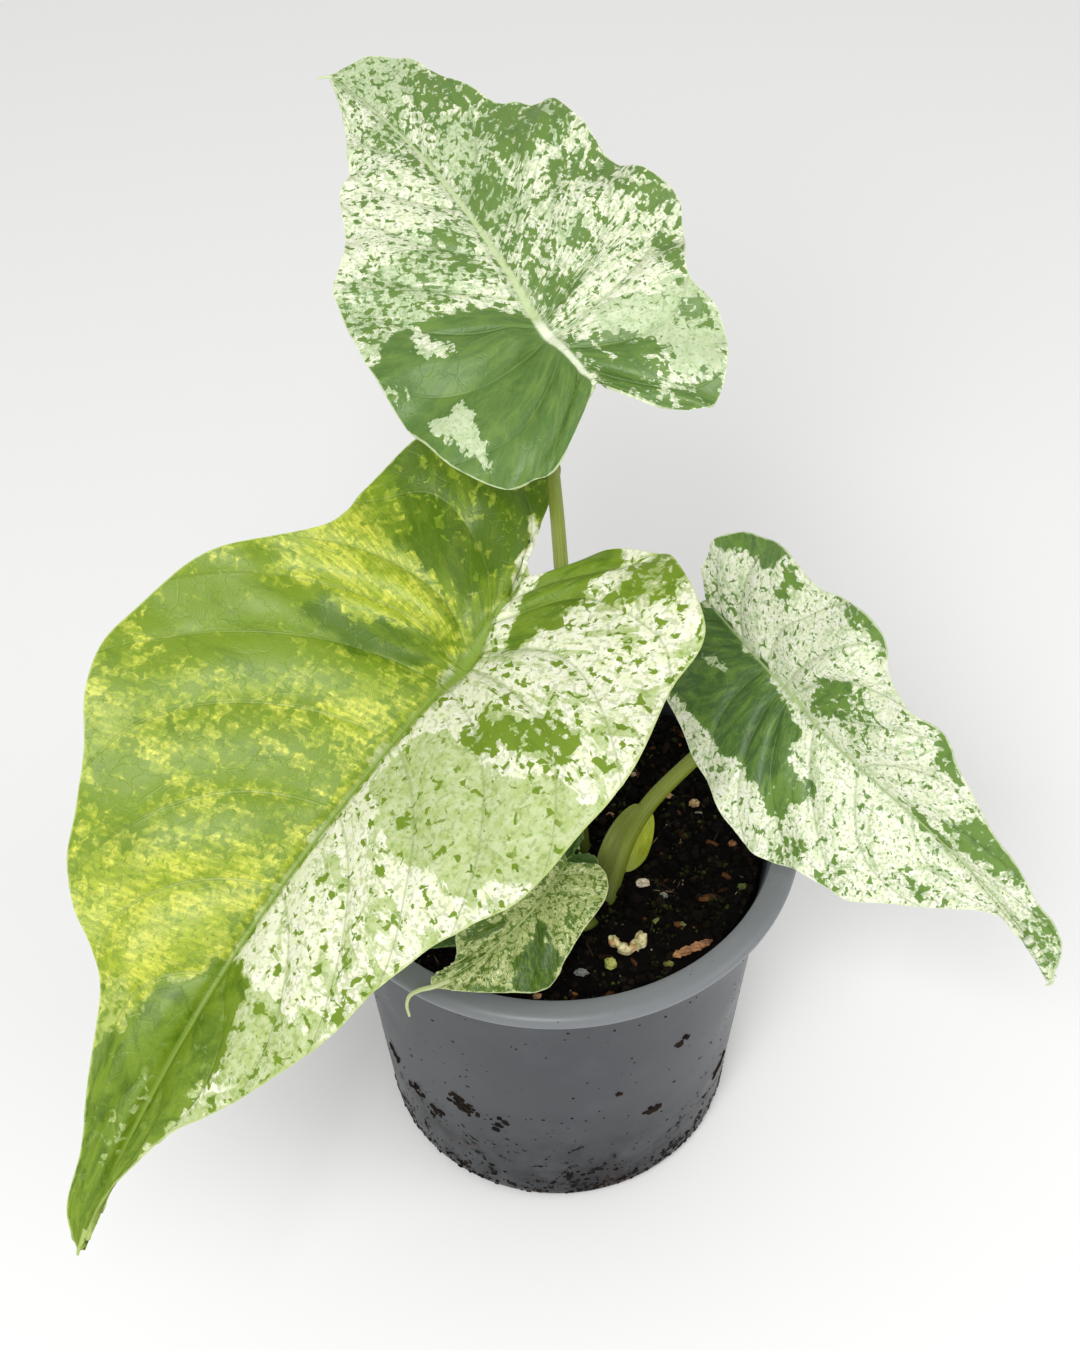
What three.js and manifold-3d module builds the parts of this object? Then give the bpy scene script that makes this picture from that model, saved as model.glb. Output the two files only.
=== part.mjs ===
// A young camouflage alocasia in a 12 cm nursery pot.
// Millimetres, +Z up, origin at the middle of the pot's flat underside.
// Five peltate blades stand on five petioles that rise from one short stem in the soil.

import * as THREE from 'three';
import { mergeVertices } from 'three/addons/utils/BufferGeometryUtils.js';
import Module from 'manifold-3d';

const wasm = await Module();
wasm.setup();

// Driving dimensions of the pot
const CLEARANCE = 0.3;
const POT_SIDES = 56;
const BASE_RADIUS = 45.3;
const BASE_CORNER = 5;
const WALL = 1.6;
const FLOOR = 2;
const WALL_TOP_RADIUS = 53;
const WALL_TOP_Z = 95;
const LIP_OUTER_RADIUS = 60;
const LIP_SEAM_RADIUS = 59.6;
const LIP_SEAM_Z = 100;
const LIP_INNER_RADIUS = 54.5;
const LIP_TOP_Z = 103.2;
const DRAIN_COUNT = 5;
const DRAIN_RADIUS = 4;
const DRAIN_CIRCLE = 28;

// Driving dimensions of the soil and of what lies on it
const SOIL_Z = 95;
const SOIL_RINGS = 13;
const SOIL_SPOKES = 44;
const SOIL_LUMP = 1.3;
const GRAIN_SEED = 41;

// Driving dimensions of the short stem in the soil
const STEM_CENTRE = [6, -13];
const STEM_RADIUS = 15;
const STEM_TOP_Z = 89.7;
const STEM_DEPTH = 30;
const ROOT_COUNT = 6;
const ROOT_LENGTH = 30;
const ROOT_RADIUS = 1.6;

// Blades: flat outlines are [along the midrib, across it] in mm from the petiole's seat.
// Positive across is the side on the right of someone who looks from the seat to the tip.
const BLADE_THICKNESS = 0.8;
const RIB_DEPTH = 1.1;
const RIB_WIDTH = 2.2;

const LEAVES = {
  top: {
    seat: [-2, 10, 248],
    heading: 119,
    pitch: 19,
    roll: 9,
    bend: { front: 0.002, back: 0.0055 },
    midribBow: 0,
    seamSlope: -0.2,
    rows: 32,
    columns: 5,
    halfWidth: 36,
    veinTurn: 0.52,
    colour: 0xa9bd97,
    left: {
      fold: 6,
      arch: 0.0045,
      wave: { height: 1.5, length: 24, phase: 20 },
      outline: [
        [78, -9.5], [66, -12], [56.5, -15.5], [49.5, -18.5], [46.5, -22], [39.5, -24.5],
        [32, -28], [26, -33.5], [21.5, -34.5], [10, -35.5], [0, -35.5], [-12.5, -34],
        [-21.5, -30.5], [-29, -24], [-30.5, -17.5], [-29.5, -11.5], [-20.5, 0], [-16.5, 3],
      ],
    },
    right: {
      fold: 12,
      arch: 0.004,
      wave: { height: 2.5, length: 22, phase: 200 },
      outline: [
        [78, -9.5], [77, -0.5], [73, 5.5], [66.5, 9.5], [57, 14], [50.5, 18], [47.5, 22.5],
        [45, 27.5], [37, 29.5], [29.5, 30.5], [20.5, 33.5], [14, 36.5], [8, 37.5], [0, 34],
        [-7, 30.5], [-15.5, 32.5], [-24, 30], [-31.5, 24], [-32.5, 20], [-28, 12.5], [-16.5, 3],
      ],
    },
  },
  large: {
    seat: [-20, -27.5, 186.5],
    heading: 225,
    pitch: -19,
    roll: 0,
    bend: { front: 0.0035, back: 0.002 },
    midribBow: 0,
    seamSlope: -0.13,
    rows: 34,
    columns: 6,
    halfWidth: 56,
    veinTurn: 0.6,
    colour: 0x9fb45c,
    left: {
      fold: 20,
      arch: 0.006,
      wave: { height: 2.5, length: 38, phase: 120 },
      outline: [
        [147.5, -5.5], [131.5, -6], [114, -13], [104, -19.5], [93, -27], [82, -32.5], [71, -37],
        [60, -38.5], [50, -41.5], [41, -47.5], [31.5, -52.5], [16, -52], [5, -53], [-5, -52.5],
        [-20, -45.5], [-33.5, -43], [-43, -26], [-42, -19.5], [-37.5, -9.5], [-29.5, -2.5],
        [-23.5, 3],
      ],
    },
    right: {
      fold: 30,
      arch: 0.0005,
      wave: { height: 3, length: 52, phase: 60 },
      outline: [
        [147.5, -5.5], [140, 1], [127, 4.5], [114.5, 10], [98, 17.5], [91, 24.5], [86, 33],
        [79, 40], [69.5, 43.5], [60, 48], [51, 55], [42, 60], [33, 61], [25, 59.5], [16, 55],
        [7, 47.5], [-2, 41], [-8, 40], [-15, 41.5], [-30, 41.5], [-40, 35.5], [-47, 26.5],
        [-48.5, 16], [-40, 11], [-30, 7.5], [-23.5, 3],
      ],
    },
  },
  right: {
    seat: [54.7, 0.5, 145],
    heading: -55,
    pitch: -12.5,
    roll: -54,
    bend: { front: 0.0075, back: 0.0048 },
    midribBow: -0.0026,
    seamSlope: 0,
    rows: 32,
    columns: 5,
    halfWidth: 30,
    veinTurn: 0.5,
    colour: 0xb4c69c,
    left: {
      fold: 19,
      arch: 0.0045,
      wave: { height: 2, length: 21, phase: 40 },
      outline: [
        [89.5, 8.5], [85, 0], [79, -4.5], [72, -7], [62, -11], [52, -14.5], [42.5, -19],
        [36, -22.5], [30, -24], [23, -23], [16, -24], [12, -28], [8, -31.5], [4, -33],
        [-4, -29.5], [-10.5, -26.5], [-21.5, -27], [-30, -23], [-35, -19], [-39.5, -12],
        [-39, -6.5], [-37.5, -3], [-32, 1.5],
      ],
    },
    right: {
      fold: 15,
      arch: 0.0045,
      wave: { height: 1.5, length: 26, phase: 0 },
      outline: [
        [89.5, 8.5], [85.5, 5.5], [77, 4], [69, 3.5], [60, 8.5], [51, 16], [42.5, 23],
        [36, 24.5], [29.5, 26], [24, 30], [18.5, 32], [10.5, 30.5], [3.5, 28.5], [-4, 28],
        [-11, 26], [-18, 23.5], [-30.5, 22], [-35.5, 18.5], [-38.5, 12.5], [-38, 6.5],
        [-32, 1.5],
      ],
    },
  },
  front: {
    seat: [-4, -36.9, 118],
    heading: 226,
    pitch: -20,
    roll: 26,
    bend: { front: 0.0105, back: 0.004 },
    midribBow: 0.0044,
    seamSlope: -0.1,
    rows: 22,
    columns: 3,
    halfWidth: 15,
    veinTurn: 0.5,
    colour: 0x93ab78,
    left: {
      fold: 13,
      arch: 0.005,
      wave: { height: 0.8, length: 13, phase: 0 },
      outline: [
        [31, 6.2], [29.5, 3.8], [26.5, -0.5], [23, -5], [19.5, -9], [16, -13],
        [12, -14.5], [6, -13], [-1, -12], [-8.5, -11.5], [-13, -9.5], [-15, -5.5], [-13, -2],
        [-11, 1],
      ],
    },
    right: {
      fold: 10,
      arch: 0.005,
      wave: { height: 0.8, length: 14, phase: 90 },
      outline: [
        [31, 6.2], [29.5, 7.6], [27, 7], [24.5, 6], [21.5, 6.8], [18, 10],
        [12, 13], [6, 14.5], [0, 14], [-6.5, 12], [-11, 8], [-12.5, 4], [-11, 1],
      ],
    },
  },
  inner: {
    seat: [0.5, -19.6, 110],
    heading: 212,
    pitch: -6,
    roll: 20,
    bend: { front: 0.006, back: 0.004 },
    midribBow: 0,
    seamSlope: 0,
    rows: 16,
    columns: 3,
    halfWidth: 12,
    veinTurn: 0.5,
    colour: 0x3f6a34,
    left: {
      fold: 10,
      arch: 0.006,
      wave: { height: 0.5, length: 14, phase: 0 },
      outline: [
        [38, 0], [31, -4], [22, -7.5], [12, -9], [3, -9], [-4, -8], [-8, -5], [-7.5, -2],
        [-4, 0],
      ],
    },
    right: {
      fold: 10,
      arch: 0.006,
      wave: { height: 0.5, length: 14, phase: 90 },
      outline: [
        [38, 0], [31, 4.5], [22, 9], [12, 11], [3, 11], [-5, 9.5], [-9.5, 6], [-8.5, 2.5],
        [-4, 0],
      ],
    },
  },
};

// Petioles: the points that each one passes on its way from the stem to its blade.
const PETIOLE_FOOT_Z = 90;
const PETIOLE_SIDES = 10;
const PETIOLES = {
  top: { foot: [6, -3], through: [[5, -2.6, 112], [1.2, 2.8, 200]], lead: 6,
    radius: { foot: 2.8, top: 1.3 }, steps: 16, colour: 0x7c8f45 },
  large: { foot: [-3, -6], through: [[-3.6, -7, 112], [-9, -14, 148]], lead: 9,
    radius: { foot: 2.8, top: 1.7 }, steps: 14, colour: 0x7c8f45 },
  right: { foot: [12, -18.5], through: [[14, -14.4, 99], [17.4, -8.9, 106], [22.8, -3.9, 113],
    [34.1, 4.4, 120], [46, 8.5, 130.5]], lead: 5,
    radius: { foot: 3, top: 1.6 }, steps: 20, colour: 0x86983d },
  front: { foot: [9, -24.5], through: [[5, -32.5, 102.5]], lead: 4,
    radius: { foot: 1.5, top: 0.9 }, steps: 10, colour: 0x86983d },
  inner: { foot: [3, -14], through: [[3, -15, 100]], lead: 4,
    radius: { foot: 1.4, top: 0.9 }, steps: 8, colour: 0x5d7a35 },
};

// The winged sheath at the foot of the right leaf's petiole
const SHEATH = {
  start: 0.11,
  peak: 0.3,
  end: 0.4,
  thickness: 0.9,
  stations: 12,
  wings: [
    { towards: [0.85, -0.35, -0.45], width: 4.5 },
    { towards: [-0.85, 0.25, 0.35], width: 5.5 },
  ],
};

// The tip of the front leaf ends in a thin thread that hangs over the pot's lip
const TIP_THREAD = {
  through: [[-24.8, -50.9, 107.3], [-29.1, -51.8, 106], [-32, -51.9, 105], [-34.2, -52.1, 103.2],
    [-35, -52.9, 100.6], [-34.5, -54, 97.8]],
  radius: { start: 0.7, end: 0.35 },
  steps: 9,
  sides: 6,
};

// Loose pieces that lie on the soil: place, size and colour
const LOOSE = {
  pumice_white: { at: [21, -15], size: [3.4, 2.6, 2.2], colour: 0xcfcac0 },
  pumice_grey: { at: [5.5, -41.2], size: [3.8, 2, 1.8], colour: 0x9b9a90 },
  grit_mossy: { at: [12.4, -39], size: [3.2, 3, 2.4], colour: 0x8c9040 },
  grit_tan: { at: [35, 10], size: [2.8, 2.4, 2], colour: 0xb08a63 },
};
const BARK = { at: [31.8, -34.5], length: 11, width: 3, thickness: 1.6, turn: 25, colour: 0x9a5a35 };
const CURL = { at: [17, -31.2], radius: 4, width: 3, thickness: 1.8, sweep: 230, turn: 200,
  colour: 0xd9c79a };

const RADIANS = Math.PI / 180;

// Small numeric helpers

function seededRandom(seed) {
  let state = seed >>> 0;
  return () => {
    state = (Math.imul(state, 1664525) + 1013904223) >>> 0;
    return state / 4294967296;
  };
}

function geometryFrom(points, triangles) {
  const geometry = new THREE.BufferGeometry();
  const flat = points.flatMap((point) => [point.x, point.y, point.z]);
  geometry.setAttribute('position', new THREE.Float32BufferAttribute(flat, 3));
  geometry.setIndex(triangles.flat());
  return geometry;
}

// Shared corners are merged and triangles that lost their area are dropped.
function welded(source) {
  const bare = new THREE.BufferGeometry();
  bare.setAttribute('position', source.getAttribute('position').clone());
  if (source.index) bare.setIndex(source.index.clone());
  const merged = mergeVertices(bare, 1e-4);
  const kept = [];
  const index = merged.index.array;
  for (let i = 0; i < index.length; i += 3) {
    const [a, b, c] = [index[i], index[i + 1], index[i + 2]];
    if (a !== b && b !== c && c !== a) kept.push(a, b, c);
  }
  merged.setIndex(kept);
  return merged;
}

function solidOf(geometry) {
  const clean = welded(geometry);
  return new wasm.Manifold(new wasm.Mesh({
    numProp: 3,
    vertProperties: new Float32Array(clean.getAttribute('position').array),
    triVerts: new Uint32Array(clean.index.array),
  }));
}

function geometryOf(solid) {
  const mesh = solid.getMesh();
  const geometry = new THREE.BufferGeometry();
  const positions = new Float32Array(mesh.vertProperties);
  geometry.setAttribute('position', new THREE.BufferAttribute(positions, 3));
  geometry.setIndex(new THREE.BufferAttribute(new Uint32Array(mesh.triVerts), 1));
  return geometry;
}

// Blade surface: a flat outline bent along the midrib, folded at it, arched and waved.

function leafAxes(leaf) {
  const heading = leaf.heading * RADIANS;
  const pitch = leaf.pitch * RADIANS;
  const roll = leaf.roll * RADIANS;
  const along = new THREE.Vector3(
    Math.cos(heading) * Math.cos(pitch),
    Math.sin(heading) * Math.cos(pitch),
    Math.sin(pitch),
  );
  const level = new THREE.Vector3(Math.sin(heading), -Math.cos(heading), 0);
  const upright = level.clone().cross(along);
  const across = level.multiplyScalar(Math.cos(roll)).addScaledVector(upright, Math.sin(roll));
  const normal = across.clone().cross(along);
  return { along, across, normal };
}

// Where the midrib, and behind the seat the seam, lies across the flat outline.
function spineOffset(leaf, a) {
  const tip = leaf.left.outline[0];
  const sinus = leaf.left.outline[leaf.left.outline.length - 1];
  if (a > 0) {
    const cubic = (tip[1] - leaf.midribBow * tip[0] ** 2) / tip[0] ** 3;
    return leaf.midribBow * a * a + cubic * a ** 3;
  }
  const square = (sinus[1] - leaf.seamSlope * sinus[0]) / sinus[0] ** 2;
  return leaf.seamSlope * a + square * a * a;
}

function bladePoint(leaf, a, b) {
  const { along, across, normal } = leaf.axes;
  const bend = a > 0 ? leaf.bend.front : leaf.bend.back;
  const turn = bend * a;
  const offset = spineOffset(leaf, a);
  const distance = Math.abs(b - offset);
  const half = b < offset ? leaf.left : leaf.right;
  const fold = half.fold * RADIANS;
  const side = Math.sign(b - offset);
  const sideways = (side * (Math.sin(fold) - Math.sin(fold - half.arch * distance))) / half.arch;
  const rise = (Math.cos(fold - half.arch * distance) - Math.cos(fold)) / half.arch;
  const reach = Math.min(distance / leaf.halfWidth, 1.3);
  const beat = Math.sin((2 * Math.PI * a) / half.wave.length + half.wave.phase * RADIANS);
  const lift = rise + half.wave.height * reach * reach * beat;
  const forward = Math.sin(turn) / bend + Math.sin(turn) * lift;
  const upward = (Math.cos(turn) - 1) / bend + Math.cos(turn) * lift;
  return new THREE.Vector3(...leaf.seat)
    .addScaledVector(along, forward)
    .addScaledVector(normal, upward)
    .addScaledVector(across, offset + sideways);
}

function bladeNormal(leaf, a, b) {
  const step = 0.2;
  const alongStep = bladePoint(leaf, a + step, b).sub(bladePoint(leaf, a - step, b));
  const acrossStep = bladePoint(leaf, a, b + step).sub(bladePoint(leaf, a, b - step));
  return acrossStep.cross(alongStep).normalize();
}

// The blade is a little thicker underneath along the midrib and the seam.
function ribDepth(leaf, a, b) {
  const tip = leaf.left.outline[0][0];
  const sinus = leaf.left.outline[leaf.left.outline.length - 1][0];
  const towards = a > 0 ? a / tip : a / sinus;
  const width = (b - spineOffset(leaf, a)) / RIB_WIDTH;
  return RIB_DEPTH * Math.exp(-width * width) * Math.max(0, 1 - towards ** 2) * leaf.ribScale;
}

// Foot of the vein that ends at share s of the margin: tip at 0, seat at veinTurn, sinus at 1.
function veinFoot(leaf, s) {
  const tip = leaf.left.outline[0][0];
  const sinus = leaf.left.outline[leaf.left.outline.length - 1][0];
  const before = Math.max(0, (leaf.veinTurn - s) / leaf.veinTurn);
  const after = Math.max(0, (s - leaf.veinTurn) / (1 - leaf.veinTurn));
  const a = tip * before ** 1.25 + sinus * after ** 1.5;
  return new THREE.Vector2(a, spineOffset(leaf, a));
}

function bladeGeometry(leaf) {
  const points = [];
  const triangles = [];
  const { rows, columns } = leaf;
  const vertexOf = {};
  const addPair = (flat) => {
    const middle = bladePoint(leaf, flat.x, flat.y);
    const normal = bladeNormal(leaf, flat.x, flat.y);
    const under = BLADE_THICKNESS / 2 + ribDepth(leaf, flat.x, flat.y);
    points.push(middle.clone().addScaledVector(normal, BLADE_THICKNESS / 2));
    points.push(middle.clone().addScaledVector(normal, -under));
    return points.length - 2;
  };
  for (const side of ['left', 'right']) {
    const margin = new THREE.SplineCurve(leaf[side].outline.map((p) => new THREE.Vector2(...p)));
    vertexOf[side] = [];
    for (let i = 0; i <= rows; i += 1) {
      const foot = veinFoot(leaf, i / rows);
      const edge = margin.getPoint(i / rows);
      vertexOf[side].push([]);
      for (let j = 0; j <= columns; j += 1) {
        vertexOf[side][i].push(addPair(foot.clone().lerp(edge, j / columns)));
      }
    }
  }
  const quad = (a, b, c, d, flip) => {
    if (flip) triangles.push([a, c, b], [a, d, c]);
    else triangles.push([a, b, c], [a, c, d]);
  };
  for (const side of ['left', 'right']) {
    const grid = vertexOf[side];
    const mirrored = side === 'left';
    for (let i = 0; i < rows; i += 1) {
      for (let j = 0; j < columns; j += 1) {
        const corners = [grid[i][j], grid[i + 1][j], grid[i + 1][j + 1], grid[i][j + 1]];
        quad(...corners, mirrored);
        quad(...corners.map((corner) => corner + 1), !mirrored);
      }
      const [here, next] = [grid[i][columns], grid[i + 1][columns]];
      quad(here, next, next + 1, here + 1, mirrored);
    }
  }
  return welded(geometryFrom(points, triangles));
}

function threadSolid() {
  const { through, radius, steps, sides } = TIP_THREAD;
  const curve = new THREE.CatmullRomCurve3(through.map((point) => new THREE.Vector3(...point)));
  const radiusAt = (t) => radius.start + (radius.end - radius.start) * t;
  return solidOf(tubeGeometry(curve, radiusAt, steps, sides));
}

// Petioles: tapered round tubes with closed ends, on a curve that meets its blade square on.

function petioleCurve(name) {
  const petiole = PETIOLES[name];
  const leaf = LEAVES[name];
  const seat = new THREE.Vector3(...leaf.seat);
  const under = BLADE_THICKNESS / 2 + RIB_DEPTH * leaf.ribScale + CLEARANCE;
  const end = seat.clone().addScaledVector(leaf.axes.normal, -under);
  const lead = seat.clone().addScaledVector(leaf.axes.normal, -under - petiole.lead);
  const foot = new THREE.Vector3(...petiole.foot, PETIOLE_FOOT_Z);
  const rise = new THREE.Vector3(...petiole.foot, PETIOLE_FOOT_Z + 3);
  const through = petiole.through.map((point) => new THREE.Vector3(...point));
  return new THREE.CatmullRomCurve3([foot, rise, ...through, lead, end], false, 'centripetal');
}

// With a level foot the first ring is horizontal, whichever way the curve sets out.
function frameAlong(curve, count, levelFoot) {
  const frames = [];
  let side = new THREE.Vector3(1, 0, 0);
  for (let i = 0; i <= count; i += 1) {
    const t = i / count;
    const level = levelFoot && i === 0;
    const tangent = level ? new THREE.Vector3(0, 0, 1) : curve.getTangentAt(t);
    side = side.clone().addScaledVector(tangent, -side.dot(tangent)).normalize();
    frames.push({ t, point: curve.getPointAt(t), tangent, side, other: tangent.clone().cross(side) });
  }
  return frames;
}

function tubeGeometry(curve, radiusAt, steps, sides, levelFoot = false) {
  const frames = frameAlong(curve, steps, levelFoot);
  const points = [];
  const triangles = [];
  for (const { t, point, side, other } of frames) {
    for (let k = 0; k < sides; k += 1) {
      const angle = (2 * Math.PI * k) / sides;
      const spoke = side.clone().multiplyScalar(Math.cos(angle));
      spoke.addScaledVector(other, Math.sin(angle));
      points.push(point.clone().addScaledVector(spoke, radiusAt(t)));
    }
  }
  for (let i = 0; i < steps; i += 1) {
    for (let k = 0; k < sides; k += 1) {
      const next = (k + 1) % sides;
      const [a, b] = [i * sides + k, i * sides + next];
      triangles.push([a, b, b + sides], [a, b + sides, a + sides]);
    }
  }
  for (let k = 1; k < sides - 1; k += 1) {
    const last = steps * sides;
    triangles.push([0, k + 1, k], [last, last + k, last + k + 1]);
  }
  return geometryFrom(points, triangles);
}

function petioleRadius(petiole, extra) {
  return (t) => {
    const foot = petiole.radius.foot;
    return foot + (petiole.radius.top - foot) * Math.sqrt(t) + extra;
  };
}

// One wing of the sheath: a thin strip that leaves the petiole's side and tapers at both ends.
function wingGeometry(curve, petiole, wing) {
  const points = [];
  const triangles = [];
  const { start, peak, end, thickness, stations } = SHEATH;
  for (let i = 0; i <= stations; i += 1) {
    const t = start + ((end - start) * i) / stations;
    const point = curve.getPointAt(t);
    const tangent = curve.getTangentAt(t);
    const outward = new THREE.Vector3(...wing.towards);
    outward.addScaledVector(tangent, -outward.dot(tangent)).normalize();
    const flat = tangent.clone().cross(outward).normalize();
    const share = t < peak ? (t - start) / (peak - start) : (end - t) / (end - peak);
    const spread = wing.width * Math.sin((share * Math.PI) / 2);
    const reach = petioleRadius(petiole, 0)(t) + spread - 0.4;
    for (const [distance, offset] of [[0.8, -1], [reach, -0.7], [reach, 0.7], [0.8, 1]]) {
      points.push(point.clone()
        .addScaledVector(outward, distance)
        .addScaledVector(flat, (offset * thickness) / 2));
    }
  }
  for (let i = 0; i < stations; i += 1) {
    for (let k = 0; k < 4; k += 1) {
      const [a, b] = [i * 4 + k, i * 4 + ((k + 1) % 4)];
      triangles.push([a, b, b + 4], [a, b + 4, a + 4]);
    }
  }
  const last = stations * 4;
  triangles.push([0, 2, 1], [0, 3, 2], [last, last + 1, last + 2], [last, last + 2, last + 3]);
  return geometryFrom(points, triangles);
}

function petioleSolid(name, extra) {
  const petiole = PETIOLES[name];
  const curve = petioleCurve(name);
  const radiusAt = petioleRadius(petiole, extra);
  const tube = tubeGeometry(curve, radiusAt, petiole.steps, PETIOLE_SIDES, true);
  return { solid: solidOf(tube), curve };
}

function petioleGeometry(name) {
  const { solid, curve } = petioleSolid(name, 0);
  if (name !== 'right') return geometryOf(solid);
  const wings = SHEATH.wings.map((wing) => solidOf(wingGeometry(curve, PETIOLES[name], wing)));
  return geometryOf(solid.add(wings[0]).add(wings[1]));
}

// Stem: a short thick stub with a few roots, wholly in the soil.

function stemSolid(extra) {
  const radius = STEM_RADIUS + extra;
  const bottom = STEM_TOP_Z - STEM_DEPTH - extra;
  const top = STEM_TOP_Z + extra;
  const profile = [
    [0, bottom], [radius * 0.55, bottom + 3], [radius * 0.9, bottom + 11],
    [radius, bottom + 19], [radius, top - 1.5], [radius - 1.5, top], [0, top],
  ];
  const lathe = new THREE.LatheGeometry(profile.map((p) => new THREE.Vector2(...p)), 20);
  lathe.rotateX(Math.PI / 2);
  lathe.translate(...STEM_CENTRE, 0);
  let solid = solidOf(lathe);
  for (let k = 0; k < ROOT_COUNT; k += 1) {
    const angle = ((k + 0.3) * 2 * Math.PI) / ROOT_COUNT;
    const out = new THREE.Vector3(Math.cos(angle), Math.sin(angle), 0);
    const start = new THREE.Vector3(...STEM_CENTRE, bottom + 12 + extra);
    const reach = STEM_RADIUS + ROOT_LENGTH * 0.45 + extra;
    const curve = new THREE.CatmullRomCurve3([
      start.clone().addScaledVector(out, 2),
      start.clone().addScaledVector(out, STEM_RADIUS * 0.8).add(new THREE.Vector3(0, 0, -3)),
      start.clone().addScaledVector(out, reach).add(new THREE.Vector3(0, 0, -ROOT_LENGTH)),
    ]);
    const radiusAt = (t) => ROOT_RADIUS * (1.2 - 0.6 * t) + extra;
    solid = solid.add(solidOf(tubeGeometry(curve, radiusAt, 6, 6)));
  }
  return solid;
}

// Pot: thin tapered wall, flat floor with drain holes, and a broad rounded lip.

function potGeometry() {
  const corner = BASE_CORNER;
  const outer = [[0, 0], [BASE_RADIUS - corner, 0]];
  for (const angle of [30, 60, 90]) {
    outer.push([
      BASE_RADIUS - corner + corner * Math.sin(angle * RADIANS),
      corner - corner * Math.cos(angle * RADIANS),
    ]);
  }
  outer.push(
    [WALL_TOP_RADIUS, WALL_TOP_Z],
    [WALL_TOP_RADIUS + 2.2, WALL_TOP_Z + 2],
    [LIP_SEAM_RADIUS - 0.8, LIP_SEAM_Z - 0.9],
    [LIP_SEAM_RADIUS, LIP_SEAM_Z],
    [LIP_OUTER_RADIUS, LIP_SEAM_Z + 1.2],
    [LIP_OUTER_RADIUS - 0.6, LIP_TOP_Z - 0.8],
    [LIP_OUTER_RADIUS - 2, LIP_TOP_Z - 0.2],
  );
  const inner = [
    [LIP_INNER_RADIUS, LIP_TOP_Z],
    [LIP_INNER_RADIUS - 1, LIP_TOP_Z - 1],
    [WALL_TOP_RADIUS - WALL + 0.6, WALL_TOP_Z + 1],
    [WALL_TOP_RADIUS - WALL, WALL_TOP_Z - 2],
    [BASE_RADIUS - WALL + 0.2, corner + 1],
    [BASE_RADIUS - corner, FLOOR],
    [0, FLOOR],
  ];
  const profile = [...outer, ...inner].map((p) => new THREE.Vector2(...p));
  const lathe = new THREE.LatheGeometry(profile, POT_SIDES);
  lathe.rotateX(Math.PI / 2);
  let solid = solidOf(lathe);
  for (let k = 0; k < DRAIN_COUNT; k += 1) {
    const angle = (2 * Math.PI * k) / DRAIN_COUNT;
    const hole = new THREE.CylinderGeometry(DRAIN_RADIUS, DRAIN_RADIUS, 3 * FLOOR, 16);
    hole.rotateX(Math.PI / 2);
    hole.translate(DRAIN_CIRCLE * Math.cos(angle), DRAIN_CIRCLE * Math.sin(angle), FLOOR / 2);
    solid = solid.subtract(solidOf(hole));
  }
  return geometryOf(solid);
}

// Soil: fills the pot, with a crumbly top that is level under each loose piece.

const LEVEL_SPOTS = [
  ...Object.values(LOOSE).map(({ at, size }) => ({ at, radius: size[0] * 0.75 })),
  { at: BARK.at, radius: BARK.length * 0.6 },
  { at: CURL.at, radius: CURL.radius + CURL.width },
];

function soilHeight(x, y) {
  const broad = Math.sin(x * 0.19 + 1.3) * Math.cos(y * 0.17 - 0.6);
  const small = Math.sin(x * 0.63 + y * 0.41) * Math.cos(y * 0.71 - x * 0.23 + 2.1);
  let lump = SOIL_LUMP * (0.55 * broad + 0.45 * small);
  for (const { at, radius } of LEVEL_SPOTS) {
    const away = Math.hypot(x - at[0], y - at[1]) - radius;
    lump *= THREE.MathUtils.smoothstep(away, 0, 5);
  }
  return SOIL_Z + lump;
}

function soilGeometry() {
  const topRadius = WALL_TOP_RADIUS - WALL - CLEARANCE - 0.35;
  const floorRadius = BASE_RADIUS - BASE_CORNER - CLEARANCE;
  const sideRadius = BASE_RADIUS - WALL - CLEARANCE;
  const floorZ = FLOOR + CLEARANCE;
  const points = [];
  const triangles = [];
  const ring = (radius, heightAt) => {
    for (let k = 0; k < SOIL_SPOKES; k += 1) {
      const angle = (2 * Math.PI * k) / SOIL_SPOKES;
      const [x, y] = [radius * Math.cos(angle), radius * Math.sin(angle)];
      points.push(new THREE.Vector3(x, y, heightAt(x, y)));
    }
  };
  ring(floorRadius, () => floorZ);
  ring(sideRadius, () => BASE_CORNER + 1.5);
  for (let i = SOIL_RINGS; i > 0; i -= 1) ring((topRadius * i) / SOIL_RINGS, soilHeight);
  const bands = SOIL_RINGS + 1;
  for (let i = 0; i < bands; i += 1) {
    for (let k = 0; k < SOIL_SPOKES; k += 1) {
      const next = (k + 1) % SOIL_SPOKES;
      const [a, b] = [i * SOIL_SPOKES + k, i * SOIL_SPOKES + next];
      const [c, d] = [a + SOIL_SPOKES, b + SOIL_SPOKES];
      triangles.push([a, b, d], [a, d, c]);
    }
  }
  const floorCentre = points.push(new THREE.Vector3(0, 0, floorZ)) - 1;
  const topCentre = points.push(new THREE.Vector3(0, 0, soilHeight(0, 0))) - 1;
  for (let k = 0; k < SOIL_SPOKES; k += 1) {
    const next = (k + 1) % SOIL_SPOKES;
    const first = bands * SOIL_SPOKES;
    triangles.push([floorCentre, next, k], [topCentre, first + k, first + next]);
  }
  let solid = solidOf(geometryFrom(points, triangles)).subtract(stemSolid(CLEARANCE + 0.2));
  for (const name of Object.keys(PETIOLES)) {
    solid = solid.subtract(petioleSolid(name, CLEARANCE).solid);
  }
  return geometryOf(solid);
}

// Loose pieces on the soil

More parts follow.
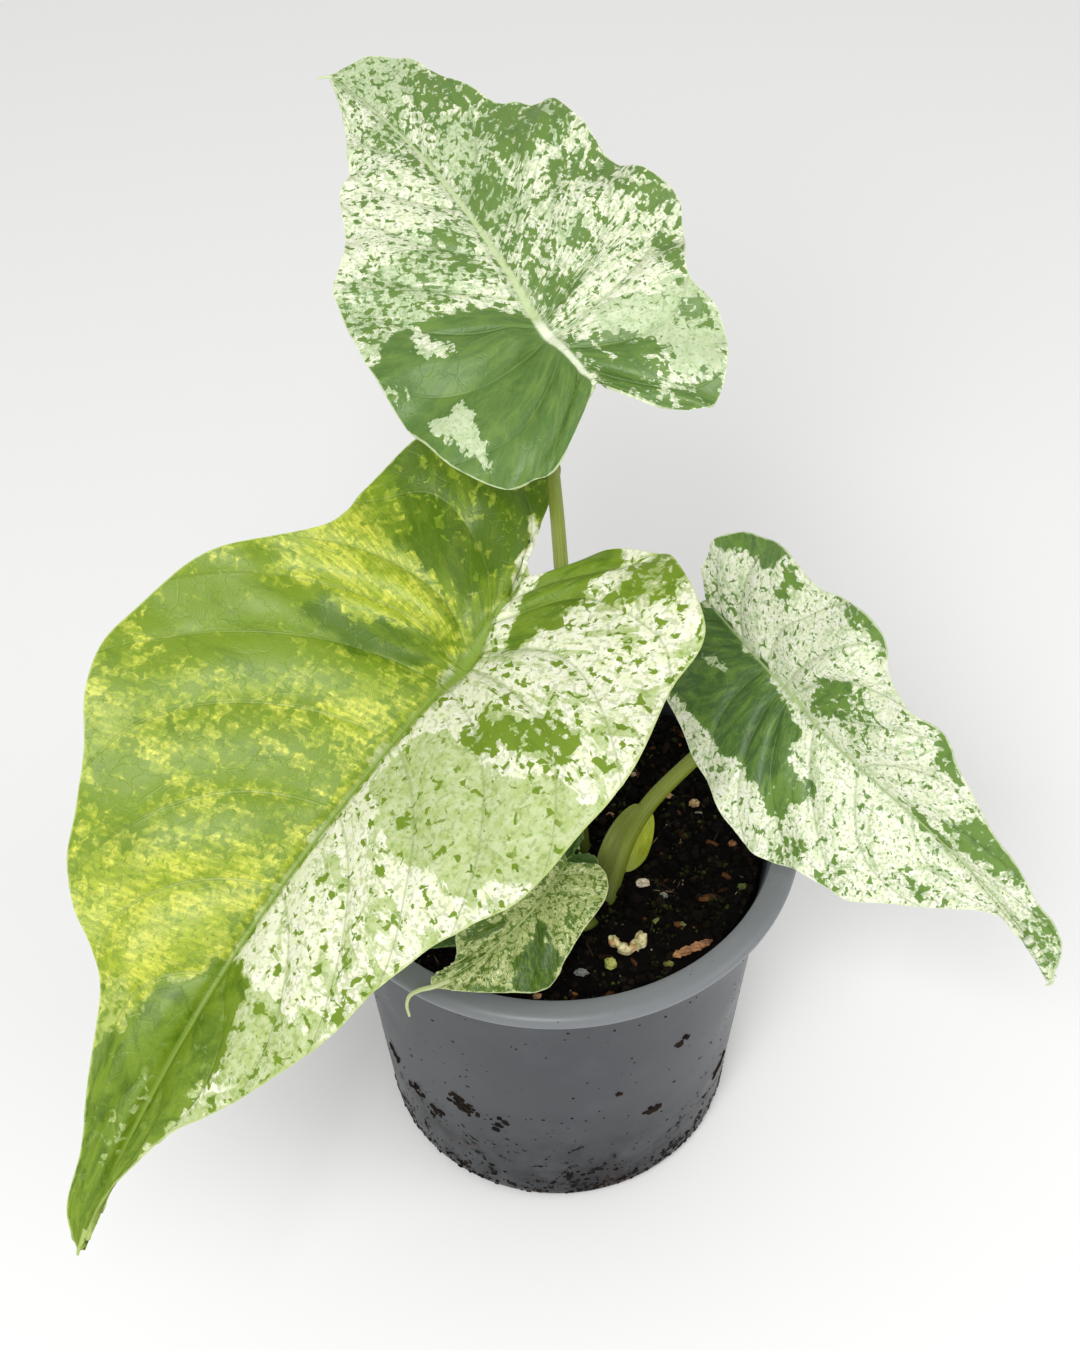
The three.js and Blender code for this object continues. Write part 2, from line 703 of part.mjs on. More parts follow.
function grainGeometry({ at, size }, random) {
  const grain = new THREE.IcosahedronGeometry(0.5, 1);
  const merged = welded(grain);
  const position = merged.getAttribute('position');
  const jitter = Array.from({ length: position.count }, () => 0.85 + 0.3 * random());
  for (let i = 0; i < position.count; i += 1) {
    position.setXYZ(
      i,
      position.getX(i) * size[0] * jitter[i],
      position.getY(i) * size[1] * jitter[i],
      Math.max(position.getZ(i), -0.36) * size[2] * jitter[i],
    );
  }
  merged.computeBoundingBox();
  merged.translate(at[0], at[1], SOIL_Z + CLEARANCE - merged.boundingBox.min.z);
  return merged;
}

function barkGeometry() {
  const half = BARK.length / 2;
  const outline = new THREE.Shape();
  outline.moveTo(-half, -BARK.width * 0.2);
  outline.lineTo(-half * 0.4, -BARK.width * 0.5);
  outline.lineTo(half * 0.7, -BARK.width * 0.35);
  outline.lineTo(half, 0);
  outline.lineTo(half * 0.5, BARK.width * 0.45);
  outline.lineTo(-half * 0.6, BARK.width * 0.5);
  outline.closePath();
  const chip = new THREE.ExtrudeGeometry(outline, { depth: BARK.thickness, bevelEnabled: false });
  chip.rotateZ(BARK.turn * RADIANS);
  chip.translate(...BARK.at, SOIL_Z + CLEARANCE);
  return welded(chip);
}

function curlGeometry() {
  const outline = new THREE.Shape();
  const outer = CURL.radius + CURL.width / 2;
  const inner = CURL.radius - CURL.width / 2;
  const sweep = CURL.sweep * RADIANS;
  outline.absarc(0, 0, outer, 0, sweep, false);
  outline.absarc(0, 0, inner, sweep, 0, true);
  outline.closePath();
  const options = { depth: CURL.thickness, bevelEnabled: false, curveSegments: 10 };
  const curl = new THREE.ExtrudeGeometry(outline, options);
  curl.rotateZ(CURL.turn * RADIANS);
  curl.translate(...CURL.at, SOIL_Z + CLEARANCE);
  return welded(curl);
}

// Assembly

const group = new THREE.Group();

function addPiece(name, geometry, colour, roughness) {
  const material = new THREE.MeshStandardMaterial({ color: colour, roughness, metalness: 0 });
  const mesh = new THREE.Mesh(geometry, material);
  mesh.name = name;
  group.add(mesh);
}

for (const leaf of Object.values(LEAVES)) {
  leaf.axes = leafAxes(leaf);
  leaf.ribScale = Math.min(1, leaf.halfWidth / 30);
}

addPiece('pot', potGeometry(), 0x7f858f, 0.45);
addPiece('soil', soilGeometry(), 0x2a1f18, 0.95);
addPiece('stem', geometryOf(stemSolid(0)), 0x6e5a3a, 0.8);
for (const [name, leaf] of Object.entries(LEAVES)) {
  addPiece(`petiole_${name}`, petioleGeometry(name), PETIOLES[name].colour, 0.5);
  const blade = bladeGeometry(leaf);
  const whole = name === 'front' ? geometryOf(solidOf(blade).add(threadSolid())) : blade;
  addPiece(`blade_${name}`, whole, leaf.colour, 0.45);
}
const random = seededRandom(GRAIN_SEED);
for (const [name, piece] of Object.entries(LOOSE)) {
  addPiece(name, grainGeometry(piece, random), piece.colour, 0.9);
}
addPiece('bark_chip', barkGeometry(), BARK.colour, 0.85);
addPiece('bark_curl', curlGeometry(), CURL.colour, 0.85);

export default group;
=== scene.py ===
"""Looks of a young camouflage alocasia in its 12 cm nursery pot.

Blades, petioles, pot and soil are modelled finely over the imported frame, in the frame's own places.
Sizes in the plant's tables are millimetres, as a grower measures them, and MM turns them into metres.
"""

import logging
import math
import random
from abc import ABC, abstractmethod
from collections.abc import Callable, Iterator, Sequence
from contextlib import contextmanager
from dataclasses import dataclass
from enum import Enum

import bpy
import numpy as np
from mathutils import Matrix, Vector, noise


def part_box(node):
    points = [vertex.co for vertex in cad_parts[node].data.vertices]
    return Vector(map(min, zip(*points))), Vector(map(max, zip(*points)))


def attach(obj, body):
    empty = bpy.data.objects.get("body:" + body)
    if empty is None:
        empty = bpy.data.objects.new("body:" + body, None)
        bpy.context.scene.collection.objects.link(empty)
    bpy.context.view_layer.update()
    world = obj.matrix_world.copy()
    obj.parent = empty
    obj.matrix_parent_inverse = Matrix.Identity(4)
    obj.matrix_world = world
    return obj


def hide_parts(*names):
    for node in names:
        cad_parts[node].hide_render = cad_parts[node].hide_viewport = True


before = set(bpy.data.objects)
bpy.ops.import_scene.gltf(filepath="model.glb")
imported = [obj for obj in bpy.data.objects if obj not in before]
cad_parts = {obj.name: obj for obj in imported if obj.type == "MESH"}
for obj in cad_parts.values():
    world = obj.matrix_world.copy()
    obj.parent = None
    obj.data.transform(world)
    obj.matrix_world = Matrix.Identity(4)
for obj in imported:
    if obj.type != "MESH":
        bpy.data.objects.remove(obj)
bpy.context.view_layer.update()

MM = 0.001
MERGE_GAP = 0.00001

Point = tuple[float, float]
Place = tuple[float, float, float]
Piece = bpy.types.Object
Material = bpy.types.Material
Socket = bpy.types.NodeSocket
log = logging.getLogger("alocasia")


class Slot(Enum):
    """Names of material slots for the pieces of the pot, soil, stalks, stones and bark."""

    POT = "pot_plastic"
    SOIL = "soil"
    PETIOLE = "petiole_tissue"
    PUMICE = "pumice"
    MOSSY_GRIT = "mossy_grit"
    TAN_GRIT = "tan_grit"
    BARK = "bark"
    PALE_BARK = "pale_bark"


def paint(code: str) -> tuple[float, float, float, float]:
    """Turns a web colour code into the linear colour that a shader takes.

    Args:
        code: Six hexadecimal digits after a hash sign.

    Returns:
        Red, green, blue and a full alpha.
    """
    shares = [int(code[k : k + 2], 16) / 255 for k in (1, 3, 5)]
    linear = [c / 12.92 if c <= 0.04045 else ((c + 0.055) / 1.055) ** 2.4 for c in shares]
    return (*linear, 1.0)


def smooth(low: float, high: float, value: np.ndarray) -> np.ndarray:
    """Eases from 0 at low to 1 at high.

    Args:
        low: Value where the ease starts.
        high: Value where it ends.
        value: The values to ease.

    Returns:
        Shares between 0 and 1.
    """
    share = np.clip((value - low) / (high - low), 0.0, 1.0)
    return share * share * (3 - 2 * share)


def spline(points: Sequence[Sequence[float]], share: np.ndarray) -> np.ndarray:
    """Follows a uniform Catmull-Rom curve through the points.

    Args:
        points: The points that the curve passes.
        share: How far along the list of points, 0 to 1.

    Returns:
        One place on the curve for each share.
    """
    knots = np.asarray(points, float)
    last = len(knots) - 1
    at = np.asarray(share) * last
    cell = np.clip(np.floor(at).astype(int), 0, last)
    part = (at - cell)[:, None]
    before = knots[np.maximum(cell - 1, 0)]
    start = knots[cell]
    end = knots[np.minimum(cell + 1, last)]
    after = knots[np.minimum(cell + 2, last)]
    leave = (end - before) / 2
    arrive = (after - start) / 2
    cubic = (2 * start - 2 * end + leave + arrive) * part**3
    square = (-3 * start + 3 * end - 2 * leave - arrive) * part**2
    return cubic + square + leave * part + start


def choose(piece: Piece) -> None:
    """Makes one piece the only selected and the active one.

    Args:
        piece: The piece.
    """
    bpy.ops.object.select_all(action="DESELECT")
    piece.select_set(True)
    bpy.context.view_layer.objects.active = piece


@contextmanager
def editing(piece: Piece) -> Iterator[None]:
    """Opens a piece in edit mode with all of it selected, and closes it again.

    Args:
        piece: The piece to edit.
    """
    choose(piece)
    bpy.ops.object.mode_set(mode="EDIT")
    bpy.ops.mesh.select_all(action="SELECT")
    yield
    bpy.ops.object.mode_set(mode="OBJECT")


def named(name: str) -> Piece:
    """Names the piece that was just added, and its mesh.

    Args:
        name: The new name.

    Returns:
        The piece.
    """
    piece = bpy.context.object
    piece.name = name
    piece.data.name = name
    return piece


def places(piece: Piece) -> np.ndarray:
    """Reads where a piece's vertices are.

    Args:
        piece: The piece.

    Returns:
        Rows of x, y and z in metres.
    """
    flat = np.empty(len(piece.data.vertices) * 3)
    piece.data.vertices.foreach_get("co", flat)
    return flat.reshape(-1, 3)


def place_all(piece: Piece, where: np.ndarray) -> None:
    """Moves the piece's vertices to rows of x, y and z."""
    piece.data.vertices.foreach_set("co", np.ascontiguousarray(where, float).ravel())
    piece.data.update()


def lattice(name: str, rows: int, columns: int) -> tuple[Piece, np.ndarray, np.ndarray]:
    """Adds a flat grid that a formula then bends into a sheet, a tube or a disc.

    Args:
        name: Name of the new piece.
        rows: Faces from the first row to the last.
        columns: Faces across.

    Returns:
        The piece, and each vertex's row number and column number.
    """
    bpy.ops.mesh.primitive_grid_add(x_subdivisions=columns, y_subdivisions=rows, size=2.0)
    piece = named(name)
    where = places(piece)
    row = np.rint((where[:, 1] + 1) / 2 * rows)
    column = np.rint((where[:, 0] + 1) / 2 * columns)
    return piece, row, column


def weld(piece: Piece) -> None:
    """Merges the vertices that lie on each other, and turns a closed shape's faces outwards.

    Args:
        piece: The piece to mend.
    """
    with editing(piece):
        bpy.ops.mesh.remove_doubles(threshold=MERGE_GAP)
        bpy.ops.mesh.normals_make_consistent(inside=False)


def store(piece: Piece, name: str, values: np.ndarray) -> None:
    """Keeps one number for each vertex under a name that the finishes read."""
    layer = piece.data.attributes.new(name, "FLOAT", "POINT")
    layer.data.foreach_set("value", np.ascontiguousarray(values, np.float32))


def store_map(piece: Piece, name: str, flat: np.ndarray) -> None:
    """Keeps flat coordinates for each vertex as a UV map.

    Args:
        piece: The piece that gets the map.
        name: Name of the map.
        flat: Two numbers for each vertex.
    """
    layer = piece.data.uv_layers.new(name=name)
    corners = np.empty(len(piece.data.loops), np.int32)
    piece.data.loops.foreach_get("vertex_index", corners)
    layer.data.foreach_set("uv", np.ascontiguousarray(flat[corners], np.float32).ravel())


def smoothed(piece: Piece, degrees: float) -> None:
    """Shades the piece smooth, except at edges sharper than the angle."""
    choose(piece)
    bpy.ops.object.shade_smooth_by_angle(angle=math.radians(degrees))


def applied(piece: Piece, kind: str, **options: object) -> None:
    """Adds one modifier, sets its options and applies it.

    Args:
        piece: The piece to change.
        kind: The modifier's type.
        options: Its settings by name.
    """
    choose(piece)
    modifier = piece.modifiers.new(kind.lower(), kind)
    for name, value in options.items():
        setattr(modifier, name, value)
    bpy.ops.object.modifier_apply(modifier=modifier.name)


def finished(piece: Piece, slot: str, nodes: Sequence[str],
             *materials: Material) -> None:
    """Gives the piece its finish, its body and the frame nodes that it stands for.

    Args:
        piece: The finished piece.
        slot: Material slot; not used.
        nodes: Names of the frame nodes that it replaces.
        materials: Its finishes, in the order of its material slots.
    """
    numbers = [face.material_index for face in piece.data.polygons]
    piece.data.materials.clear()
    for material in materials:
        piece.data.materials.append(material)
    piece.data.polygons.foreach_set("material_index", numbers)
    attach(piece, "root")
    if nodes:
        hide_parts(*nodes)
    piece.data.calc_loop_triangles()
    log.info("%s: %d triangles", piece.name, len(piece.data.loop_triangles))


class Graph:
    """The node tree of one finish, with short calls for the nodes that the finishes share."""

    def __init__(self, name: str) -> None:
        """Starts a material with the shader that all finishes use.

        Args:
            name: Name of the material.
        """
        self.material = bpy.data.materials.new(name)
        self.material.use_nodes = True
        self.tree = self.material.node_tree
        self.shader = self.tree.nodes["Principled BSDF"]

    def feed(self, socket: Socket, value: object) -> None:
        """Links a socket to another one, or sets its number, vector or web colour code.

        Args:
            socket: The input.
            value: What it gets.
        """
        if isinstance(value, Socket):
            self.tree.links.new(value, socket)
        elif isinstance(value, str):
            socket.default_value = paint(value)
        else:
            socket.default_value = value

    def node(self, kind: str, inputs: dict[str | int, object], **options: object) -> bpy.types.Node:
        """Adds one node.

        Args:
            kind: The node's type, without its common first word.
            inputs: What each input gets, by name or number.
            options: The node's own settings.

        Returns:
            The new node.
        """
        node = self.tree.nodes.new(f"ShaderNode{kind}")
        for name, value in options.items():
            setattr(node, name, value)
        for name, value in inputs.items():
            self.feed(node.inputs[name], value)
        return node

    def attribute(self, name: str) -> Socket:
        """Reads one stored number of the surface."""
        return self.node("Attribute", {}, attribute_name=name).outputs["Fac"]

    def uv(self, name: str) -> Socket:
        """Reads one UV map."""
        return self.node("UVMap", {}, uv_map=name).outputs["UV"]

    def place(self) -> Socket:
        """Reads the place on the object, in metres."""
        return self.node("TexCoord", {}).outputs["Object"]

    def part(self, vector: Socket, axis: str) -> Socket:
        """Takes one coordinate of a vector."""
        return self.node("SeparateXYZ", {0: vector}).outputs[axis]

    def stretched(self, vector: Socket, scale: Place) -> Socket:
        """Scales a vector along each axis."""
        return self.node("Mapping", {"Vector": vector, "Scale": scale}).outputs["Vector"]

    def math(self, operation: str, *values: object) -> Socket:
        """Does one sum on numbers.

        Args:
            operation: The sum's name.
            values: Numbers or sockets.

        Returns:
            The result.
        """
        return self.node("Math", dict(enumerate(values)), operation=operation).outputs[0]

    def noise(self, vector: object, scale: float, detail: float = 4.0, rough: float = 0.6,
              bend: float = 0.0) -> Socket:
        """Adds a cloudy pattern.

        Args:
            vector: Where the pattern is read.
            scale: Clouds in one unit.
            detail: How many finer layers it has.
            rough: How strong the finer layers are.
            bend: How much it is distorted.

        Returns:
            The pattern, about 0.3 to 0.7.
        """
        inputs = {"Vector": vector, "Scale": scale, "Detail": detail, "Roughness": rough, "Distortion": bend}
        return self.node("TexNoise", inputs).outputs["Fac"]

    def cells(self, vector: object, scale: float, feature: str = "F1") -> Socket:
        """Adds a pattern of cells: the distance to each cell's middle or edge.

        Args:
            vector: Where the pattern is read.
            scale: Cells in one unit.
            feature: Which distance is given.

        Returns:
            The distance.
        """
        cells = self.node("TexVoronoi", {"Vector": vector, "Scale": scale}, feature=feature)
        return cells.outputs["Distance"]

    def ramp(self, value: object, low: float, high: float, start: float = 0.0,
             end: float = 1.0) -> Socket:
        """Maps a range of a value onto another one, held at both ends.

        Args:
            value: The value.
            low: Where the range starts.
            high: Where it ends.
            start: Result at the low end.
            end: Result at the high end.

        Returns:
            The mapped value.
        """
        inputs = {"Value": value, "From Min": low, "From Max": high, "To Min": start, "To Max": end}
        return self.node("MapRange", inputs).outputs["Result"]

    def blend(self, share: object, under: object, over: object) -> Socket:
        """Mixes two colours.

        Args:
            share: How much of the second one shows.
            under: First colour.
            over: Second colour.

        Returns:
            The mixed colour.
        """
        return self.node("Mix", {0: share, 6: under, 7: over}, data_type="RGBA").outputs[2]

    def relief(self, height: object, depth: float, strength: float) -> None:
        """Turns a height pattern into bumps on the shader.

        Args:
            height: The pattern, 0 to 1.
            depth: Real height of the pattern in metres.
            strength: How much of it shows, 0 to 1.
        """
        inputs = {"Height": height, "Distance": depth, "Strength": strength}
        self.feed(self.shader.inputs["Normal"], self.node("Bump", inputs).outputs["Normal"])

    def set(self, **inputs: object) -> None:
        """Feeds the shader's own inputs, named with low dashes for spaces."""
        for name, value in inputs.items():
            self.feed(self.shader.inputs[name.replace("_", " ")], value)


class Finish(ABC):
    """A look of this object, made anew for each piece that wears it."""

    @abstractmethod
    def dress(self, g: Graph) -> None:
        """Adds the finish's nodes.

        Args:
            g: The material's node tree.
        """

    def make(self, name: str) -> Material:
        """Builds the material.

        Args:
            name: Name of the material.

        Returns:
            The material.
        """
        g = Graph(name)
        self.dress(g)
        return g.material


@dataclass(frozen=True)
class LeafFinish(Finish):
    """Variegated blade: cream under, then sage, then green, each where its own share allows."""

    cream: str
    haze: str
    sage: str
    green: str
    deep: str
    warm: str = "#7f9a3e"
    yellow: str = "#d3db6a"
    lime: str = "#b4c650"
    olive: str = "#86a343"
    vein: str = "#8fa577"
    midrib: str = "#dfe6c2"
    seam: str = "#eef0dc"
    margin: str = "#e9edd0"
    speckle: float = 70.0
    streak: float = 0.35
    pale_flecks: float = 0.14
    fleck_depth: float = 0.4
    rib_show: float = 0.85
    rib_shadow: float = 0.3
    vein_show: float = 0.3
    margin_width: float = 0.6
    roughness: float = 0.42

    def covered(self, g: Graph, share: object, pattern: object, islands: object,
                gather: float, softness: object) -> Socket:
        """Covers a given share of the surface with spots that have ragged edges.

        Args:
            g: The finish's nodes.
            share: How much is covered, 0 to 1.
            pattern: The fine cloud that cuts the spots out.
            islands: The broad cloud that gathers them.
            gather: How strongly they are gathered.
            softness: Width of a spot's edge.

        Returns:
            How far each point is covered.
        """
        free = g.math("MULTIPLY", share, g.math("SUBTRACT", 1.0, share))
        pull = g.math("MULTIPLY", g.math("SUBTRACT", islands, 0.5), gather)
        wanted = g.math("MULTIPLY_ADD", free, pull, g.math("MULTIPLY_ADD", share, 1.16, -0.08))
        level = g.ramp(pattern, 0.36, 0.64)
        excess = g.math("DIVIDE", g.math("SUBTRACT", wanted, level), softness)
        return g.ramp(excess, -0.5, 0.5)

    def mixed(self, g: Graph, first: object, second: object, share: float) -> Socket:
        """Mixes two clouds and keeps their contrast.

        Args:
            g: The finish's nodes.
            first: One cloud.
            second: The other one.
            share: How much the second one counts.

        Returns:
            The mixed cloud, about 0.3 to 0.7.
        """
        total = g.math("MULTIPLY_ADD", first, 1 - share, g.math("MULTIPLY", second, share))
        keep = 1 / math.hypot(1 - share, share)
        return g.math("MULTIPLY_ADD", g.math("SUBTRACT", total, 0.5), keep, 0.5)

    def dress(self, g: Graph) -> None:
        """Adds the finish's nodes.

        Args:
            g: The material's node tree.
        """
        colour, dark = self.blade_colour(g)
        lines = self.vein_lines(g)
        strength = g.math("MULTIPLY_ADD", dark, -0.85 * self.vein_show, self.vein_show)
        shown = g.math("MULTIPLY", lines, strength)
        colour = g.blend(shown, colour, self.vein)
        rib_gap = g.attribute("rib_gap")
        # Painted shade: a soft band of darker green on each side of the midrib, for the shadow beside its
        # raised ridge.
        beside = g.ramp(rib_gap, 0.7, 2.4, self.rib_shadow, 0.0)
        colour = g.blend(beside, colour, self.green)
        rib = g.ramp(rib_gap, 0.35, 0.8, self.rib_show, 0.0)
        spine = g.blend(g.attribute("behind_seat"), self.midrib, self.seam)
        colour = g.blend(rib, colour, spine)
        worn = g.noise(g.uv("flat"), 40.0, 3.0)
        uneven = g.math("MULTIPLY", g.math("SUBTRACT", worn, 0.5), self.margin_width * 3.0)
        edge_gap = g.math("ADD", uneven, g.attribute("edge_gap"))
        edge = g.ramp(edge_gap, self.margin_width * 0.3, self.margin_width, 0.65, 0.0)
        colour = g.blend(edge, colour, self.margin)

        grain = g.noise(g.uv("flat"), 260.0, 2.0)
        crest = g.ramp(rib_gap, 0.2, 1.1, 1.6, 0.0)
        raised = g.math("MULTIPLY_ADD", grain, 0.35, crest)
        height = g.math("SUBTRACT", raised, g.math("MULTIPLY", lines, 0.9))
        g.relief(height, 0.00025, 0.55)
        g.set(Base_Color=colour, Roughness=self.roughness, Subsurface_Weight=0.12, Subsurface_Scale=0.0015)
        g.set(Subsurface_Radius=(0.7, 1.0, 0.25), Specular_IOR_Level=0.4)

    def blade_colour(self, g: Graph) -> tuple[Socket, Socket]:
        """Lays the variegation's tones over each other.

        Args:
            g: The finish's nodes.

        Returns:
            The colour without veins and margin, and how far each point is dark green.
        """
        flat = g.uv("flat")
        fan = g.uv("fan")
        size = self.speckle
        spots = g.noise(flat, size, 3.0, 0.52, 0.5)
        streaks = g.noise(g.stretched(fan, (1.0, 0.42, 1.0)), size, 3.0, 0.52, 0.5)
        fine = self.mixed(g, spots, streaks, self.streak)
        dust = g.noise(flat, size * 2.1, 2.0, 0.5, 0.3)
        pale_streaks = g.noise(g.stretched(fan, (1.0, 0.42, 1.0)), size * 2.0, 2.0, 0.5)
        dust = self.mixed(g, dust, pale_streaks, self.streak)
        broad = g.noise(flat, size * 0.2, 3.0, 0.55, 0.5)
        bands = g.noise(flat, size * 0.38, 2.0, 0.5, 0.8)
        clouds = g.noise(g.stretched(fan, (1.0, 0.5, 1.0)), size * 0.42, 6.0, 0.68, 0.6)
        lime = g.attribute("lime_share")
        green = g.attribute("green_share")
        sage = self.covered(g, g.attribute("sage_share"), clouds, broad, 3.0, 0.16)
        deep = self.covered(g, g.attribute("deep_share"), clouds, broad, 2.0, 0.8)
        pale_share = g.math("MINIMUM", g.math("MULTIPLY_ADD", green, 0.75, self.pale_flecks), 1.0)
        pale = self.covered(g, pale_share, dust, bands, 2.6, 0.3)
        dark = self.covered(g, green, fine, bands, 2.6, g.math("MULTIPLY_ADD", lime, 0.16, 0.12))
        smoke = g.ramp(g.noise(flat, size * 0.8, 5.0, 0.7), 0.4, 0.62)

        cream = g.blend(smoke, self.cream, self.haze)
        mint = g.blend(g.math("MULTIPLY", smoke, 0.35), self.sage, self.cream)
        warmth = g.math("MULTIPLY", g.ramp(clouds, 0.42, 0.66), 0.5)
        leafy = g.blend(warmth, self.green, self.warm)
        leafy = g.blend(deep, leafy, self.deep)
        quiet = g.blend(sage, cream, mint)
        quiet = g.blend(g.math("MULTIPLY", pale, self.fleck_depth), quiet, self.green)
        swirls = g.noise(g.stretched(fan, (1.0, 0.3, 1.0)), size * 0.6, 5.0, 0.62, 0.8)
        islands = self.mixed(g, g.noise(flat, size * 0.36, 6.0, 0.66, 1.0), swirls, 0.45)
        sunny = g.blend(g.ramp(islands, 0.47, 0.53), self.lime, self.yellow)
        sunny = g.blend(g.math("MULTIPLY", sage, 0.4), sunny, self.olive)
        sunny = g.blend(g.math("MULTIPLY", pale, 0.55), sunny, self.olive)
        threads = g.noise(g.stretched(fan, (1.0, 0.14, 1.0)), size * 2.2, 5.0, 0.66)
        sunny = g.blend(g.ramp(threads, 0.4, 0.6, 0.0, 0.55), sunny, self.olive)
        shade = g.blend(g.ramp(islands, 0.44, 0.56, 0.2, 0.9), self.olive, self.green)
        shade = g.blend(deep, shade, self.deep)
        warm_part = g.blend(g.math("MULTIPLY", dark, 0.88), sunny, shade)
        return g.blend(lime, g.blend(dark, quiet, leafy), warm_part), dark

    def vein_lines(self, g: Graph) -> Socket:
        """Draws the lateral veins and the fine net between them.

        Args:
            g: The finish's nodes.

        Returns:
            1 on a vein, 0 beside it.
        """
        flat = g.uv("flat")
        phase = g.attribute("vein_phase")
        off_vein = g.math("ABSOLUTE", g.math("SUBTRACT", phase, g.math("ROUND", phase)))
        gap = g.math("MULTIPLY", off_vein, g.attribute("vein_gap"))
        lateral = g.ramp(gap, 0.12, 0.5, 1.0, 0.0)
        warped = g.math("MULTIPLY_ADD", g.noise(flat, 30.0, 2.0), 0.05, 0.0)
        net_place = g.node("VectorMath", {0: flat, 1: warped}, operation="ADD").outputs[0]
        net = g.ramp(g.cells(net_place, 20.0, "DISTANCE_TO_EDGE"), 0.0, 0.05, 1.0, 0.0)
        return g.math("MAXIMUM", lateral, g.math("MULTIPLY", net, 0.3))


@dataclass(frozen=True)
class PetioleFinish(Finish):
    """Smooth satin stalk, streaked lengthwise and darker where it enters the soil."""

    light: str = "#8f9d3a"
    dark: str = "#6b7a28"
    foot: str = "#3d4a17"
    foot_from: float = 92.0
    foot_to: float = 106.0
    glow: float = 0.1

    def dress(self, g: Graph) -> None:
        """Adds the finish's nodes.

        Args:
            g: The material's node tree.
        """
        along = g.stretched(g.uv("flat"), (60.0, 4.0, 1.0))
        streaks = g.ramp(g.noise(along, 1.0, 4.0), 0.35, 0.65)
        freckles = g.ramp(g.noise(g.place(), 1500.0, 2.0), 0.6, 0.72, 0.0, 0.35)
        green = g.blend(streaks, self.light, self.dark)
        green = g.blend(freckles, green, self.light)
        height = g.part(g.place(), "Z")
        sunk = g.ramp(height, self.foot_from * MM, self.foot_to * MM, 0.9, 0.0)
        g.relief(streaks, 0.0001, 0.5)
        g.set(Base_Color=g.blend(sunk, green, self.foot), Roughness=0.38)
        g.set(Subsurface_Weight=self.glow, Subsurface_Scale=0.002, Subsurface_Radius=(0.8, 1.0, 0.2))


@dataclass(frozen=True)
class PlasticFinish(Finish):
    """Grey moulded plastic with soil specks, dried smears, painted light on the lip and painted shade low on
    the wall.
    """

    grey: str = "#36393f"
    # The lip's colour is painted light: a lighter grey than the wall, for the light that falls on the lip.
    lip: str = "#777b7e"
    dust: str = "#63666a"
    shadow: str = "#141517"
    dirt: str = "#15110e"
    rust: str = "#4d3629"
    lip_from: float = 97.5
    seam: float = 99.75
    # The seam's colour is a painted highlight, for the thin line of light along the lip's lower edge.
    seam_highlight: str = "#909496"

    def dress(self, g: Graph) -> None:
        """Adds the finish's nodes.

        Args:
            g: The material's node tree.
        """
        place = g.place()
        height = g.part(place, "Z")
        # Painted light: from the top of the wall up, the lip is painted a lighter grey, as if lit.
        painted_lip_light = g.ramp(height, self.lip_from * MM, (self.lip_from + 2.5) * MM)
        plain = g.blend(painted_lip_light, self.grey, self.lip)
        clouds = g.noise(place, 45.0, 4.0)
        colour = g.blend(g.ramp(clouds, 0.48, 0.75, 0.0, 0.3), plain, self.dust)
        # Painted highlight: a thin, broken lighter line along the moulding seam just under the lip.
        off_seam = g.math("ABSOLUTE", g.math("SUBTRACT", height, self.seam * MM))
        broken = g.ramp(g.noise(place, 90.0, 3.0), 0.4, 0.6, 0.2, 0.8)
        seam = g.math("MULTIPLY", g.ramp(off_seam, 0.00008, 0.0002, 1.0, 0.0), broken)
        colour = g.blend(seam, colour, self.seam_highlight)
        low = g.ramp(height, 0.002, 0.05, 1.0, 0.0)
        # Painted shade: the wall is darkened towards the foot, over its lowest 50 mm, in soft mottled
        # smudges.
        painted_low_shade = g.math("MULTIPLY", low, g.ramp(g.noise(place, 60.0, 5.0, 0.65), 0.36, 0.6, 0.3, 1.0))
        colour = g.blend(painted_low_shade, colour, self.shadow)
        stain = g.noise(place, 130.0, 6.0, 0.7)
        stained = g.ramp(g.math("MULTIPLY_ADD", low, 0.08, stain), 0.66, 0.74, 0.0, 0.6)
        colour = g.blend(stained, colour, self.rust)
        specks = g.cells(place, 460.0)
        chance = g.noise(place, 80.0, 2.0)
        size = g.math("MULTIPLY_ADD", low, 0.2, g.math("MULTIPLY_ADD", chance, 1.0, -0.5))
        spot = g.ramp(g.math("SUBTRACT", size, specks), 0.0, 0.06)
        smear = g.math("MULTIPLY_ADD", low, 0.14, g.noise(place, 210.0, 6.0, 0.68, 0.6))
        dirty = g.math("MAXIMUM", spot, g.ramp(smear, 0.68, 0.73))
        colour = g.blend(g.math("MULTIPLY", dirty, 0.88), colour, self.dirt)
        grain = g.noise(place, 2600.0, 2.0)
        g.relief(g.math("MULTIPLY_ADD", dirty, 1.4, g.math("MULTIPLY", grain, 0.25)), 0.00012, 0.6)
        rough = g.math("ADD", g.ramp(clouds, 0.3, 0.7, 0.28, 0.42), g.math("MULTIPLY", dirty, 0.4))
        sheen = g.math("MULTIPLY_ADD", g.math("MAXIMUM", painted_low_shade, dirty), -0.28, 0.32)
        g.set(Base_Color=colour, Roughness=rough, Specular_IOR_Level=sheen)


